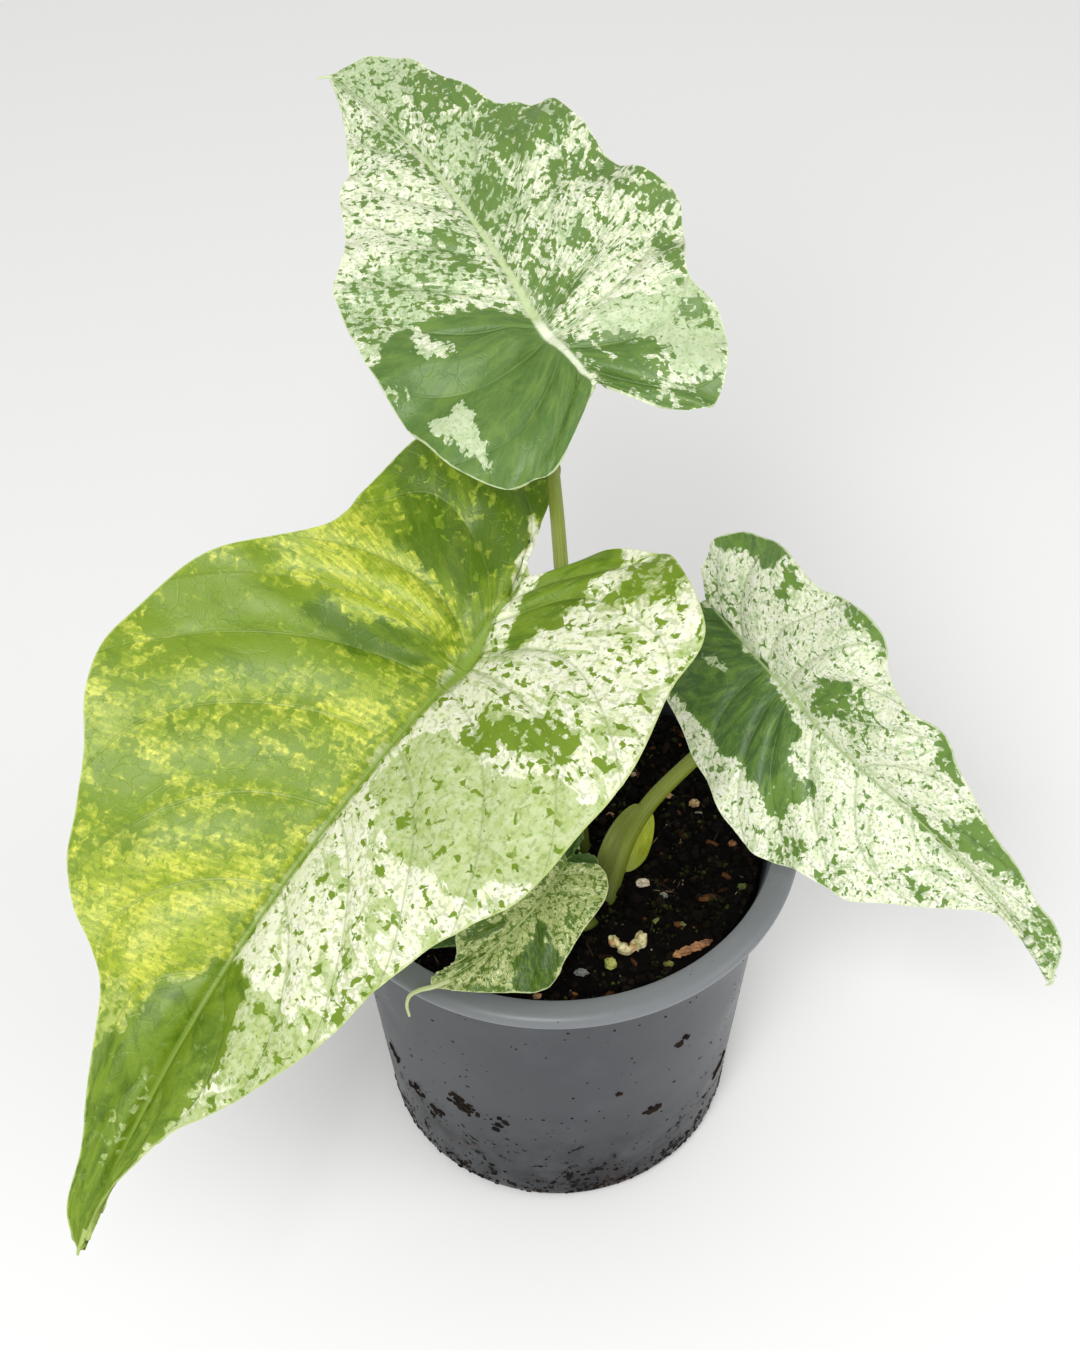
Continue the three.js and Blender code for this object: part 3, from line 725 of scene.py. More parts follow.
@dataclass(frozen=True)
class EarthFinish(Finish):
    """Peat, moss, bark or fibre: two tones chosen for each crumb, over a rough grain."""

    dark: str
    light: str
    scale: float = 900.0
    roughness: float = 0.95
    depth: float = 0.0006

    def dress(self, g: Graph) -> None:
        """Adds the finish's nodes.

        Args:
            g: The material's node tree.
        """
        place = g.place()
        clumps = g.noise(place, self.scale, 5.0, 0.7)
        grain = g.math("MULTIPLY_ADD", g.ramp(clumps, 0.35, 0.68), 0.8, 0.35)
        tone = g.math("MULTIPLY", g.attribute("tone"), grain)
        g.relief(clumps, self.depth, 0.9)
        g.set(Base_Color=g.blend(tone, self.dark, self.light), Roughness=self.roughness)
        g.set(Specular_IOR_Level=0.1)


@dataclass(frozen=True)
class StoneFinish(Finish):
    """Porous stone with pits darkened by painted shade, a second tone and a little algae."""

    base: str
    second: str
    pit_shade: str
    patch: str
    patch_share: float = 0.5

    def dress(self, g: Graph) -> None:
        """Adds the finish's nodes.

        Args:
            g: The material's node tree.
        """
        place = g.place()
        clouds = g.noise(place, 700.0, 5.0, 0.7)
        colour = g.blend(g.ramp(clouds, 0.35, 0.65), self.base, self.second)
        least = 0.62 - 0.2 * self.patch_share
        algae = g.ramp(g.noise(place, 380.0, 3.0), least, least + 0.1)
        colour = g.blend(algae, colour, self.patch)
        # Painted shade: the pits are darkened towards a dark tone, for the shade in their hollows.
        pits = g.ramp(g.cells(place, 1900.0), 0.12, 0.34, 1.0, 0.0)
        colour = g.blend(g.math("MULTIPLY", pits, 0.6), colour, self.pit_shade)
        g.relief(g.math("SUBTRACT", clouds, pits), 0.0003, 0.9)
        g.set(Base_Color=colour, Roughness=0.88)


@dataclass(frozen=True)
class WoodFinish(Finish):
    """Bark or root with fibres that run along the piece."""

    dark: str
    light: str
    stain: str
    fibres: float = 1400.0
    along: Place = (1.0, 0.15, 1.0)

    def dress(self, g: Graph) -> None:
        """Adds the finish's nodes.

        Args:
            g: The material's node tree.
        """
        grain = g.noise(g.stretched(g.place(), self.along), self.fibres, 4.0, 0.65)
        colour = g.blend(g.ramp(grain, 0.38, 0.62), self.dark, self.light)
        stain = g.ramp(g.noise(g.place(), 320.0, 3.0), 0.52, 0.68, 0.0, 0.8)
        g.relief(grain, 0.0004, 0.9)
        g.set(Base_Color=g.blend(stain, colour, self.stain), Roughness=0.82)


@dataclass(frozen=True)
class FloorFinish(Finish):
    """Plain pale sweep under the pot."""

    light: str = "#fafaf9"

    def dress(self, g: Graph) -> None:
        """Adds the finish's nodes.

        Args:
            g: The material's node tree.
        """
        tone = g.ramp(g.noise(g.place(), 2.0, 2.0), 0.3, 0.7, 0.0, 0.03)
        g.set(Base_Color=g.blend(tone, self.light, "#f0f0ee"), Roughness=0.9)


def beside(flat: np.ndarray, start: np.ndarray, end: np.ndarray) -> tuple[np.ndarray, np.ndarray]:
    """Measures how far points are from a straight stretch of line.

    Args:
        flat: Rows of along and across in mm.
        start: Where the stretch starts.
        end: Where it ends.

    Returns:
        The distances, and how far along the stretch the nearest place lies, 0 to 1.
    """
    step = end - start
    share = np.clip((flat - start) @ step / (step @ step), 0.0, 1.0)
    return np.linalg.norm(flat - start - share[:, None] * step, axis=1), share


@dataclass(frozen=True)
class Patch:
    """One patch of variegation: an outline in [along, across] mm, and the shares inside it."""

    outline: tuple[Point, ...]
    green: float | None = None
    sage: float | None = None
    deep: float | None = None
    lime: float | None = None
    feather: float = 2.2

    def shares(self) -> dict[str, float]:
        """Gives the shares that this patch sets, by name."""
        values = {"green": self.green, "sage": self.sage, "deep": self.deep, "lime": self.lime}
        return {name: value for name, value in values.items() if value is not None}

    def inside(self, flat: np.ndarray) -> np.ndarray:
        """Measures how far points are inside the outline.

        Args:
            flat: Rows of along and across in mm.

        Returns:
            0 outside, 1 inside, eased over the feather.
        """
        corners = np.asarray(self.outline, float)
        nearest = np.full(len(flat), 1e9)
        within = np.zeros(len(flat), bool)
        for start, end in zip(corners, np.roll(corners, -1, axis=0)):
            step = end - start
            nearest = np.minimum(nearest, beside(flat, start, end)[0])
            spans = (start[1] > flat[:, 1]) != (end[1] > flat[:, 1])
            rise = np.where(spans, flat[:, 1] - start[1], 0.0) / (step[1] if step[1] else 1.0)
            within ^= spans & (flat[:, 0] < start[0] + rise * step[0])
        return smooth(-self.feather, self.feather, np.where(within, nearest, -nearest))


@dataclass(frozen=True)
class Crease:
    """A valley in a blade along a flat line; a negative depth makes it a ridge."""

    line: tuple[Point, ...]
    depth: float
    width: float

    def drop(self, flat: np.ndarray) -> np.ndarray:
        """Measures how far the valley lowers each place.

        Args:
            flat: Rows of along and across in mm.

        Returns:
            Depths in mm, which fade towards the line's far end.
        """
        corners = np.asarray(self.line, float)
        nearest = np.full(len(flat), 1e9)
        fade = np.zeros(len(flat))
        count = len(corners) - 1
        for number, (start, end) in enumerate(zip(corners, corners[1:])):
            away, share = beside(flat, start, end)
            closer = away < nearest
            nearest = np.where(closer, away, nearest)
            fade = np.where(closer, 1 - 0.75 * (number + share) / count, fade)
        return self.depth * fade * np.exp(-((nearest / self.width) ** 2))


@dataclass(frozen=True)
class Half:
    """One side of a blade: its rise from the midrib in degrees, its arch, its wave and its outline.

    The wave is its height in mm, its length in mm and its phase in degrees. The flat outline runs
    from the tip to the sinus.
    """

    fold: float
    arch: float
    wave: tuple[float, float, float]
    outline: tuple[Point, ...]


@dataclass(frozen=True)
class Leaf:
    """One peltate blade: where it sits, how it bends, its outline, veins and markings.

    Flat places are [along, across] in mm from the petiole's seat. Across is positive on the right
    of someone who looks from the seat to the tip.
    """

    name: str
    seat: Place
    heading: float
    pitch: float
    roll: float
    bend_front: float
    bend_back: float
    midrib_bow: float
    seam_slope: float
    half_width: float
    vein_turn: float
    left: Half
    right: Half
    veins: tuple[float, ...]
    finish: LeafFinish
    patches: tuple[Patch, ...]
    ground: dict[str, float]
    rows: int = 200
    columns: int = 36
    thickness: float = 0.5
    quilt: float = 0.55
    pucker: float = 0.5
    pucker_count: float = 17.0
    groove: float = 0.5
    back_length: float = 60.0
    vein_spread: float = 0.8
    vein_depth: float = 0.42
    rib_spread: float = 1.3
    seed: float = 1.0
    vein_bow: float = 0.1
    rib_width: float = 1.1
    creases: tuple[Crease, ...] = ()
    thread: tuple[Place, ...] = ()
    thread_radius: Point = (0.5, 0.22)

    def axes(self) -> tuple[np.ndarray, np.ndarray, np.ndarray]:
        """Gives the blade's own directions.

        Returns:
            Unit directions along the midrib, across it, and out of the upper face.
        """
        heading, pitch, roll = (math.radians(a) for a in (self.heading, self.pitch, self.roll))
        along = np.array([
            math.cos(heading) * math.cos(pitch),
            math.sin(heading) * math.cos(pitch),
            math.sin(pitch),
        ])
        level = np.array([math.sin(heading), -math.cos(heading), 0.0])
        upright = np.cross(level, along)
        across = level * math.cos(roll) + upright * math.sin(roll)
        return along, across, np.cross(across, along)

    def spine(self, along: np.ndarray) -> np.ndarray:
        """Says how far across the midrib lies, and behind the seat the seam.

        Args:
            along: Places along the blade in mm.

        Returns:
            The spine's places across.
        """
        tip = self.left.outline[0]
        sinus = self.left.outline[-1]
        cubic = (tip[1] - self.midrib_bow * tip[0] ** 2) / tip[0] ** 3
        square = (sinus[1] - self.seam_slope * sinus[0]) / sinus[0] ** 2
        ahead = self.midrib_bow * along**2 + cubic * along**3
        behind = self.seam_slope * along + square * along**2
        return np.where(along > 0, ahead, behind)

    def surface(self, flat: np.ndarray) -> np.ndarray:
        """Bends flat places into the blade's real ones.

        Args:
            flat: Rows of along and across in mm.

        Returns:
            Rows of x, y and z in mm.
        """
        forward_axis, across_axis, out_axis = self.axes()
        along, across = flat[:, 0], flat[:, 1]
        offset = self.spine(along)
        distance = np.abs(across - offset)
        is_left = across < offset

        def of_side(pick: Callable[[Half], float]) -> np.ndarray:
            """Takes a size of the half that each place is on."""
            return np.where(is_left, pick(self.left), pick(self.right))

        fold = np.radians(of_side(lambda half: half.fold))
        arch = of_side(lambda half: half.arch)
        side = np.sign(across - offset)
        sideways = side * (np.sin(fold) - np.sin(fold - arch * distance)) / arch
        rise = (np.cos(fold - arch * distance) - np.cos(fold)) / arch
        reach = np.minimum(distance / self.half_width, 1.3)
        length = of_side(lambda half: half.wave[1])
        phase = np.radians(of_side(lambda half: half.wave[2]))
        beat = np.sin(2 * math.pi * along / length + phase)
        lift = rise + of_side(lambda half: half.wave[0]) * reach**2 * beat
        bend = np.where(along > 0, self.bend_front, self.bend_back)
        turn = bend * along
        forward = np.sin(turn) / bend + np.sin(turn) * lift
        upward = (np.cos(turn) - 1) / bend + np.cos(turn) * lift
        place = forward[:, None] * forward_axis + upward[:, None] * out_axis
        return np.array(self.seat) + place + (offset + sideways)[:, None] * across_axis

    def normals(self, flat: np.ndarray) -> np.ndarray:
        """Works out the directions that the blade's upper face looks in.

        Args:
            flat: Rows of along and across in mm.

        Returns:
            Rows of unit directions.
        """
        step = 0.2
        along = self.surface(flat + (step, 0)) - self.surface(flat - (step, 0))
        across = self.surface(flat + (0, step)) - self.surface(flat - (0, step))
        out = np.cross(across, along)
        return out / np.linalg.norm(out, axis=1, keepdims=True)

    def dip(self) -> float:
        """Says how many mm the groove and the creases lower the blade at its seat."""
        seat = np.zeros((1, 2))
        return self.groove + sum(float(crease.drop(seat)[0]) for crease in self.creases)

    def feet(self, share: np.ndarray) -> np.ndarray:
        """Finds where the vein that ends at a share of the margin leaves the midrib or seam.

        Args:
            share: 0 at the tip, 1 at the sinus.

        Returns:
            Rows of along and across in mm.
        """
        before = np.maximum(0, (self.vein_turn - share) / self.vein_turn)
        after = np.maximum(0, (share - self.vein_turn) / (1 - self.vein_turn))
        along = self.left.outline[0][0] * before**1.25 + self.left.outline[-1][0] * after**1.5
        return np.stack([along, self.spine(along)], axis=1)

    def vein_ends(self) -> tuple[float, ...]:
        """Lists where the lateral veins end along the margin, with one more past each end."""
        return (-0.12, *self.veins, 1.1)

    def vein_phase(self, share: np.ndarray) -> np.ndarray:
        """Counts lateral veins along the margin, so that each one lies at a whole number."""
        known = self.vein_ends()
        return np.interp(share, known, np.arange(len(known)))

    def clouds(self, flat: np.ndarray, size: float) -> np.ndarray:
        """Reads two soft random values for each place.

        Args:
            flat: Rows of along and across in mm.
            size: Width of one cloud in mm.

        Returns:
            Rows of two numbers, about -1 to 1.
        """
        first = [noise.noise((a, b, self.seed)) for a, b in flat / size]
        second = [noise.noise((a, b, self.seed + 50.0)) for a, b in flat / size]
        return np.array((first, second)).T

    def marks(self, flat: np.ndarray) -> dict[str, np.ndarray]:
        """Works out how much sage, green, dark green and lime each place has.

        Args:
            flat: Rows of along and across in mm.

        Returns:
            The shares by name.
        """
        bent = flat + 2.4 * self.clouds(flat, 7.0) + 1.3 * self.clouds(flat, 2.8)
        names = ("green", "sage", "deep", "lime")
        shares = {name: np.full(len(flat), self.ground.get(name, 0.0)) for name in names}
        for patch in self.patches:
            weight = patch.inside(bent)
            for name, value in patch.shares().items():
                shares[name] += (value - shares[name]) * weight
        return shares

    def build(self) -> None:
        """Builds the blade with its relief, and keeps the coordinates that its finish reads."""
        piece, row, column = lattice(f"leaf_{self.name}", self.rows, 2 * self.columns)
        share = row / self.rows
        reach = np.abs(column - self.columns) / self.columns
        on_left = (column < self.columns)[:, None]
        edge = np.where(on_left, spline(self.left.outline, share), spline(self.right.outline, share))
        feet = self.feet(share)
        flat = feet + (edge - feet) * reach[:, None]
        vein_length = np.linalg.norm(edge - feet, axis=1)

        phase = self.vein_phase(share + self.vein_bow * reach**2)
        gaps = np.diff(self.vein_ends())
        gap_share = gaps[np.clip(np.floor(phase).astype(int), 0, len(gaps) - 1)]
        grid_row = flat.reshape(self.rows + 1, 2 * self.columns + 1, 2)
        spacing = np.linalg.norm(np.gradient(grid_row, axis=0), axis=2).ravel() * self.rows
        vein_gap = np.maximum(gap_share * spacing, 0.5)
        spine_gap = np.abs(flat[:, 1] - self.spine(flat[:, 0]))

        off_vein = np.abs(phase - np.rint(phase))
        lateral = np.exp(-((off_vein * vein_gap / self.vein_spread) ** 2))
        lateral *= smooth(0.02, 0.12, reach) * (1 - 0.6 * reach)
        puff = np.sin(math.pi * (phase % 1.0)) * smooth(0.0, 0.3, reach) * (1 - smooth(0.6, 1.0, reach))
        lip = np.sin(2 * math.pi * self.pucker_count * share + 4 * self.seed) * reach**4
        tip_fade = smooth(0.0, 0.12, share)
        ripple = self.clouds(flat, 11.0)[:, 0] * 0.35 + self.clouds(flat, 3.5)[:, 0] * 0.12
        rib = np.exp(-((spine_gap / self.rib_spread) ** 2))
        relief = self.quilt * puff * tip_fade - self.vein_depth * lateral + ripple * reach * tip_fade
        relief += self.pucker * lip * tip_fade - self.groove * rib * tip_fade
        for crease in self.creases:
            relief -= crease.drop(flat)
        normal = self.normals(flat)
        where = self.surface(flat) + normal * (self.thickness / 2 + relief)[:, None]
        place_all(piece, where * MM)

        for name, values in self.marks(flat).items():
            store(piece, f"{name}_share", values)
        half_length = np.where(flat[:, 0] > 0, self.left.outline[0][0], self.back_length)
        taper = np.clip(1 - np.abs(flat[:, 0]) / half_length, 0.12, 1)
        store(piece, "vein_phase", phase)
        store(piece, "vein_gap", vein_gap)
        store(piece, "rib_gap", spine_gap / (self.rib_width * taper**0.9))
        store(piece, "edge_gap", (1 - reach) * vein_length)
        store(piece, "behind_seat", smooth(-2.0, 0.5, -flat[:, 0]))
        store_map(piece, "flat", flat / 100 + 0.5)
        store_map(piece, "fan", np.stack([share * 2.2, np.sign(column - self.columns) * reach * 0.4], axis=1))
        self.thicken(piece, rib + 0.35 * lateral, normal)
        if self.thread:
            tip = self.surface(np.array([self.left.outline[0]]))[0]
            where_to, heading = rounded_path([tuple(tip + step) for step in self.thread], 24)
            radius = np.linspace(*self.thread_radius, 25)
            join(piece, tube(f"thread_{self.name}", where_to, heading, radius, 12), 0)
        finished(piece, f"leaf_{self.name}", [f"blade_{self.name}"], self.finish.make(f"blade_{self.name}"))

    def thicken(self, piece: Piece, ribs: np.ndarray, normal: np.ndarray) -> None:
        """Closes the sheet into a thin blade whose veins stand out underneath.

        Args:
            piece: The open upper face.
            ribs: How strongly each vertex lies on a vein.
            normal: The upper face's directions.
        """
        rib_depth = 0.9 * min(1.0, self.half_width / 30)
        full = self.thickness + rib_depth
        group = piece.vertex_groups.new(name="ribs")
        for index, weight in enumerate(ribs):
            group.add((index,), float(min(1.0, weight)), "REPLACE")
        vertices = piece.data.vertices
        faces_up = np.mean([vertices[i].normal.dot(normal[i]) for i in range(0, len(normal), 97)]) > 0
        with editing(piece):
            bpy.ops.mesh.remove_doubles(threshold=MERGE_GAP)
            if not faces_up:
                bpy.ops.mesh.flip_normals()
        applied(piece, "SOLIDIFY", thickness=full * MM, offset=-1.0, vertex_group="ribs",
                thickness_vertex_group=self.thickness / full)
        piece.vertex_groups.clear()
        smoothed(piece, 60.0)


def join(piece: Piece, part: Piece, material: int) -> None:
    """Joins a part into a piece, and gives the part's faces their own material number.

    Args:
        piece: The piece that stays.
        part: The piece that becomes a part of it.
        material: Number of the part's material in the piece.
    """
    numbers = [face.material_index for face in piece.data.polygons]
    choose(piece)
    part.select_set(True)
    bpy.ops.object.join()
    numbers += [material] * (len(piece.data.polygons) - len(numbers))
    piece.data.polygons.foreach_set("material_index", numbers)


def rounded_path(points: Sequence[Place], count: int) -> tuple[np.ndarray, np.ndarray]:
    """Follows a centripetal curve through the points at even steps.

    Args:
        points: Places in mm.
        count: Steps along the curve.

    Returns:
        The places and the directions, count + 1 rows each.
    """
    knots = [np.asarray(p, float) for p in points]
    knots = [2 * knots[0] - knots[1], *knots, 2 * knots[-1] - knots[-2]]
    dense = []
    for before, start, end, after in zip(knots, knots[1:], knots[2:], knots[3:]):
        steps = ((before, start), (start, end), (end, after))
        come, span, go = [max(np.linalg.norm(b - a), 1e-4) ** 0.5 for a, b in steps]
        speed = (end - start) / span
        leave = (start - before) / come - (end - before) / (come + span) + speed
        arrive = speed - (after - start) / (span + go) + (after - end) / go
        leave, arrive = leave * span, arrive * span
        for part in np.linspace(0, 1, 40, endpoint=False):
            cubic = (2 * start - 2 * end + leave + arrive) * part**3
            square = (-3 * start + 3 * end - 2 * leave - arrive) * part**2
            dense.append(cubic + square + leave * part + start)
    dense.append(knots[-2])
    line = np.array(dense)
    run = np.concatenate([[0], np.cumsum(np.linalg.norm(np.diff(line, axis=0), axis=1))])
    at = np.linspace(0, run[-1], count + 1)
    where = np.stack([np.interp(at, run, line[:, k]) for k in range(3)], axis=1)
    heading = np.gradient(where, axis=0)
    return where, heading / np.linalg.norm(heading, axis=1, keepdims=True)


def carried_frames(heading: np.ndarray) -> tuple[np.ndarray, np.ndarray]:
    """Carries two side directions along a path without twist.

    Args:
        heading: The path's directions.

    Returns:
        Two sets of unit directions at right angles to the path.
    """
    side = np.array([1.0, 0.0, 0.0])
    sides = []
    for tangent in heading:
        side = side - side.dot(tangent) * tangent
        side /= np.linalg.norm(side)
        sides.append(side)
    first = np.array(sides)
    return first, np.cross(heading, first)


def tube(name: str, where: np.ndarray, heading: np.ndarray, radius: np.ndarray, sides: int,
         flute: float = 0.0, flat: float = 1.0) -> Piece:
    """Wraps a grid round a path and closes its ends.

    Args:
        name: Name of the piece.
        where: The path's places in mm.
        heading: The path's directions.
        radius: Radius at each place in mm.
        sides: Faces round the tube.
        flute: Depth of the long ridges, as a share of the radius.
        flat: Width of the section across its second direction, as a share of the radius.

    Returns:
        The closed piece.
    """
    rows = len(where) - 1
    piece, row, column = lattice(name, rows, sides)
    step = row.astype(int)
    angle = 2 * math.pi * column / sides
    first, second = carried_frames(heading)
    grow = radius[step] * (1 + flute * np.cos(5 * angle))
    spoke = first[step] * np.cos(angle)[:, None] + flat * second[step] * np.sin(angle)[:, None]
    place_all(piece, (where[step] + spoke * grow[:, None]) * MM)
    store_map(piece, "flat", np.stack([column / sides, row / rows], axis=1))
    with editing(piece):
        bpy.ops.mesh.remove_doubles(threshold=MERGE_GAP)
        bpy.ops.mesh.select_all(action="DESELECT")
        bpy.ops.mesh.select_non_manifold()
        bpy.ops.mesh.fill_holes(sides=0)
        bpy.ops.mesh.select_all(action="SELECT")
        bpy.ops.mesh.normals_make_consistent(inside=False)
    smoothed(piece, 50.0)
    return piece


@dataclass(frozen=True)
class Petiole:
    """The stalk of one blade, from the soil to the blade's seat."""

    leaf: Leaf
    foot: Point
    through: tuple[Place, ...]
    lead: float
    foot_radius: float
    top_radius: float
    finish: PetioleFinish
    foot_height: float = 90.0
    steps: int = 90
    sides: int = 28

    def path(self) -> tuple[np.ndarray, np.ndarray]:
        """Leads the stalk from the soil to the blade.

        Returns:
            Its places in mm and its directions.
        """
        out = self.leaf.axes()[2]
        seat = np.array(self.leaf.seat)
        rib = 1.1 * min(1.0, self.leaf.half_width / 30)
        end = seat - (self.leaf.dip() + 0.25) * out
        lead = seat - (0.7 + rib + self.lead) * out
        foot = (*self.foot, self.foot_height)
        rise = (*self.foot, self.foot_height + 3)
        return rounded_path([foot, rise, *self.through, tuple(lead), tuple(end)], self.steps)

    def radii(self) -> np.ndarray:
        """Sizes the stalk along its path, with a small collar under the blade.

        Returns:
            A radius in mm for each place.
        """
        share = np.linspace(0, 1, self.steps + 1)
        plain = self.foot_radius + (self.top_radius - self.foot_radius) * np.sqrt(share)
        return plain * (1 + 0.45 * smooth(0.965, 1.0, share))

    def build(self) -> Piece:
        """Builds the stalk.

        Returns:
            The stalk, not yet finished, so that a sheath can be joined to it.
        """
        where, heading = self.path()
        return tube(f"stalk_{self.leaf.name}", where, heading, self.radii(), self.sides, 0.03)

    def dress(self, piece: Piece, *more: Material) -> None:
        """Gives the stalk its finish and its place in the frame."""
        name = f"petiole_{self.leaf.name}"
        finished(piece, Slot.PETIOLE.value, [name], self.finish.make(name), *more)


@dataclass(frozen=True)
class Wing:
    """One wing of the sheath at a stalk's foot: a thin strip that leaves the stalk's side."""

    name: str
    towards: Place
    width: float
    start: float
    peak: float
    end: float
    curl: float
    notch: float
    front: float = 0.0
    thickness: float = 0.45
    rows: int = 60
    columns: int = 12

    def build(self, stalk: Petiole) -> Piece:
        """Builds the wing beside its stalk.

        Args:
            stalk: The stalk that it belongs to.

        Returns:
            The closed wing.
        """
        where, heading = stalk.path()
        radii = stalk.radii()
        piece, row, column = lattice(self.name, self.rows, self.columns)
        share = self.start + (self.end - self.start) * row / self.rows
        at = share * stalk.steps
        known = np.arange(stalk.steps + 1)
        centre = np.stack([np.interp(at, known, where[:, k]) for k in range(3)], axis=1)
        along = np.stack([np.interp(at, known, heading[:, k]) for k in range(3)], axis=1)
        out = np.array(self.towards) - (along @ np.array(self.towards))[:, None] * along
        out /= np.linalg.norm(out, axis=1, keepdims=True)
        face = np.cross(along, out)
        rising = np.where(share < self.peak, (share - self.start) / (self.peak - self.start),
                          (self.end - share) / (self.end - self.peak))
        width = self.width * np.sin(np.clip(rising, 0, 1) * math.pi / 2) ** self.notch
        across = column / self.columns
        radius = np.interp(at, known, radii)
        reach = radius * 0.55 + (radius * 0.4 + width) * across
        ripple = 0.25 * np.sin(13 * share * math.pi) * across**2
        lift = self.curl * (across * width / self.width) ** 2 + ripple
        lift += self.front * radius * (1 - 0.6 * across)
        place_all(piece, (centre + out * reach[:, None] + face * lift[:, None]) * MM)
        store_map(piece, "flat", np.stack([0.3 * across, row / self.rows], axis=1))
        weld(piece)
        applied(piece, "SOLIDIFY", thickness=self.thickness * MM, offset=0.0)
        smoothed(piece, 60.0)
        return piece


@dataclass(frozen=True)
class Pot:
    """The round nursery pot: a thin tapered wall, a rounded foot, a broad lip and drain holes."""

    base_radius: float = 45.3
    base_corner: float = 5.0
    wall: float = 1.6
    floor: float = 2.0
    wall_top_radius: float = 53.0
    wall_top: float = 95.0
    lip_radius: float = 60.0
    lip_seam: float = 100.0
    lip_inner: float = 54.5
    lip_top: float = 103.2
    drain_count: int = 5
    drain_radius: float = 4.0
    drain_circle: float = 28.0
    segments: int = 160
    finish: PlasticFinish = PlasticFinish()

    def profile(self) -> list[Point]:
        """Lists the wall's section, from the foot up and back down inside.

        Returns:
            Radius and height in mm of each point.
        """
        corner = self.base_corner
        section = [(self.base_radius - corner, 0.0)]
        for angle in range(15, 91, 15):
            turn = math.radians(angle)
            out = self.base_radius - corner + corner * math.sin(turn)
            section.append((out, corner - corner * math.cos(turn)))
        rise = self.wall_top_radius - self.base_radius
        for share in (0.25, 0.5, 0.75, 0.97):
            section.append((self.base_radius + rise * share, corner + (self.wall_top - corner) * share))
        section += [
            (self.wall_top_radius + 0.3, self.wall_top + 0.3),
            (self.wall_top_radius + 2.2, self.wall_top + 2.0),
            (self.wall_top_radius + 4.4, self.wall_top + 3.4),
            (self.lip_radius - 1.2, self.lip_seam - 0.9),
            (self.lip_radius - 0.75, self.lip_seam - 0.55),
            (self.lip_radius - 0.7, self.lip_seam - 0.3),
            (self.lip_radius - 0.35, self.lip_seam - 0.2),
            (self.lip_radius - 0.25, self.lip_seam + 0.1),
        ]
        bulge = 2.4
        for angle in range(10, 91, 16):
            turn = math.radians(angle)
            section.append((
                self.lip_radius - bulge + bulge * math.cos(turn),
                self.lip_top - bulge * 0.95 + bulge * 0.9 * math.sin(turn),
            ))
        section += [
            (self.lip_inner + 1.6, self.lip_top),
            (self.lip_inner, self.lip_top - 0.1),
            (self.lip_inner - 0.7, self.lip_top - 0.5),
            (self.lip_inner - 1.1, self.lip_top - 1.4),
            (self.wall_top_radius - self.wall + 0.6, self.wall_top + 1),
            (self.wall_top_radius - self.wall, self.wall_top - 2),
            (self.base_radius - self.wall + 0.2, corner + 1),
            (self.base_radius - self.wall - 1.5, self.floor + 1.2),
            (self.base_radius - corner, self.floor),
        ]
        return section

    def wall_radius(self, height: float) -> float:
        """Gives the wall's outside radius at a height.

        Args:
            height: Height over the pot's underside in mm.

        Returns:
            The radius in mm, which shrinks round the foot's corner.
        """
        corner = self.base_corner
        if height < corner:
            drop = corner - height
            return self.base_radius - corner + math.sqrt(max(0.0, corner**2 - drop**2))
        rise = (self.wall_top_radius - self.base_radius) / (self.wall_top - corner)
        return self.base_radius + rise * (height - corner)

    def build(self) -> None:
        """Draws the pot up from a disc, ring by ring, and drills its floor."""
        section = self.profile()
        bpy.ops.mesh.primitive_circle_add(vertices=self.segments, radius=section[0][0] * MM, fill_type="NGON")
        piece = named("nursery_pot")
        with editing(piece):
            for (radius, height), (next_radius, next_height) in zip(section, section[1:]):
                rise = (0, 0, (next_height - height) * MM)
                bpy.ops.mesh.extrude_region_move(TRANSFORM_OT_translate={"value": rise})
                grow = next_radius / radius
                centre = (0, 0, next_height * MM)
                bpy.ops.transform.resize(value=(grow, grow, 1), center_override=centre)
            bpy.ops.mesh.select_all(action="SELECT")
            bpy.ops.mesh.normals_make_consistent(inside=False)
        for index in range(self.drain_count):
            self.drill(piece, 2 * math.pi * index / self.drain_count)
        smoothed(piece, 32.0)
        finished(piece, Slot.POT.value, ["pot"], self.finish.make("pot_plastic"))

    def drill(self, piece: Piece, angle: float) -> None:
        """Cuts one drain hole through the floor.

        Args:
            piece: The pot.
            angle: Where the hole lies round the pot's axis.
        """
        where = (self.drain_circle * math.cos(angle) * MM, self.drain_circle * math.sin(angle) * MM, 0)
        radius = self.drain_radius * MM
        bpy.ops.mesh.primitive_cylinder_add(vertices=40, radius=radius, depth=0.02, location=where)
        drill = bpy.context.object
        applied(piece, "BOOLEAN", object=drill, operation="DIFFERENCE", solver="EXACT")
        bpy.data.objects.remove(drill)


class Crumb:
    """The one small lump that all litter is copied from."""

    def __init__(self) -> None:
        """Models the lump, reads its vertices and faces, and removes it."""
        bpy.ops.mesh.primitive_cube_add(size=1.0)
        piece = named("crumb")
        with editing(piece):
            bpy.ops.mesh.subdivide(number_cuts=1, smoothness=0.0)
            bpy.ops.transform.tosphere(value=0.75)
        self.shape = places(piece)
        self.faces = [tuple(face.vertices) for face in piece.data.polygons]
        bpy.data.objects.remove(piece)

    def roughened(self, draw: random.Random, low: float, high: float) -> np.ndarray:
        """Moves each vertex in or out at random.

        Args:
            draw: The seeded draws.
            low: Least stretch of a coordinate.
            high: Greatest stretch.

        Returns:
            The uneven copy's vertices.
        """
        return self.shape * np.array([[draw.uniform(low, high) for _ in range(3)] for _ in self.shape])


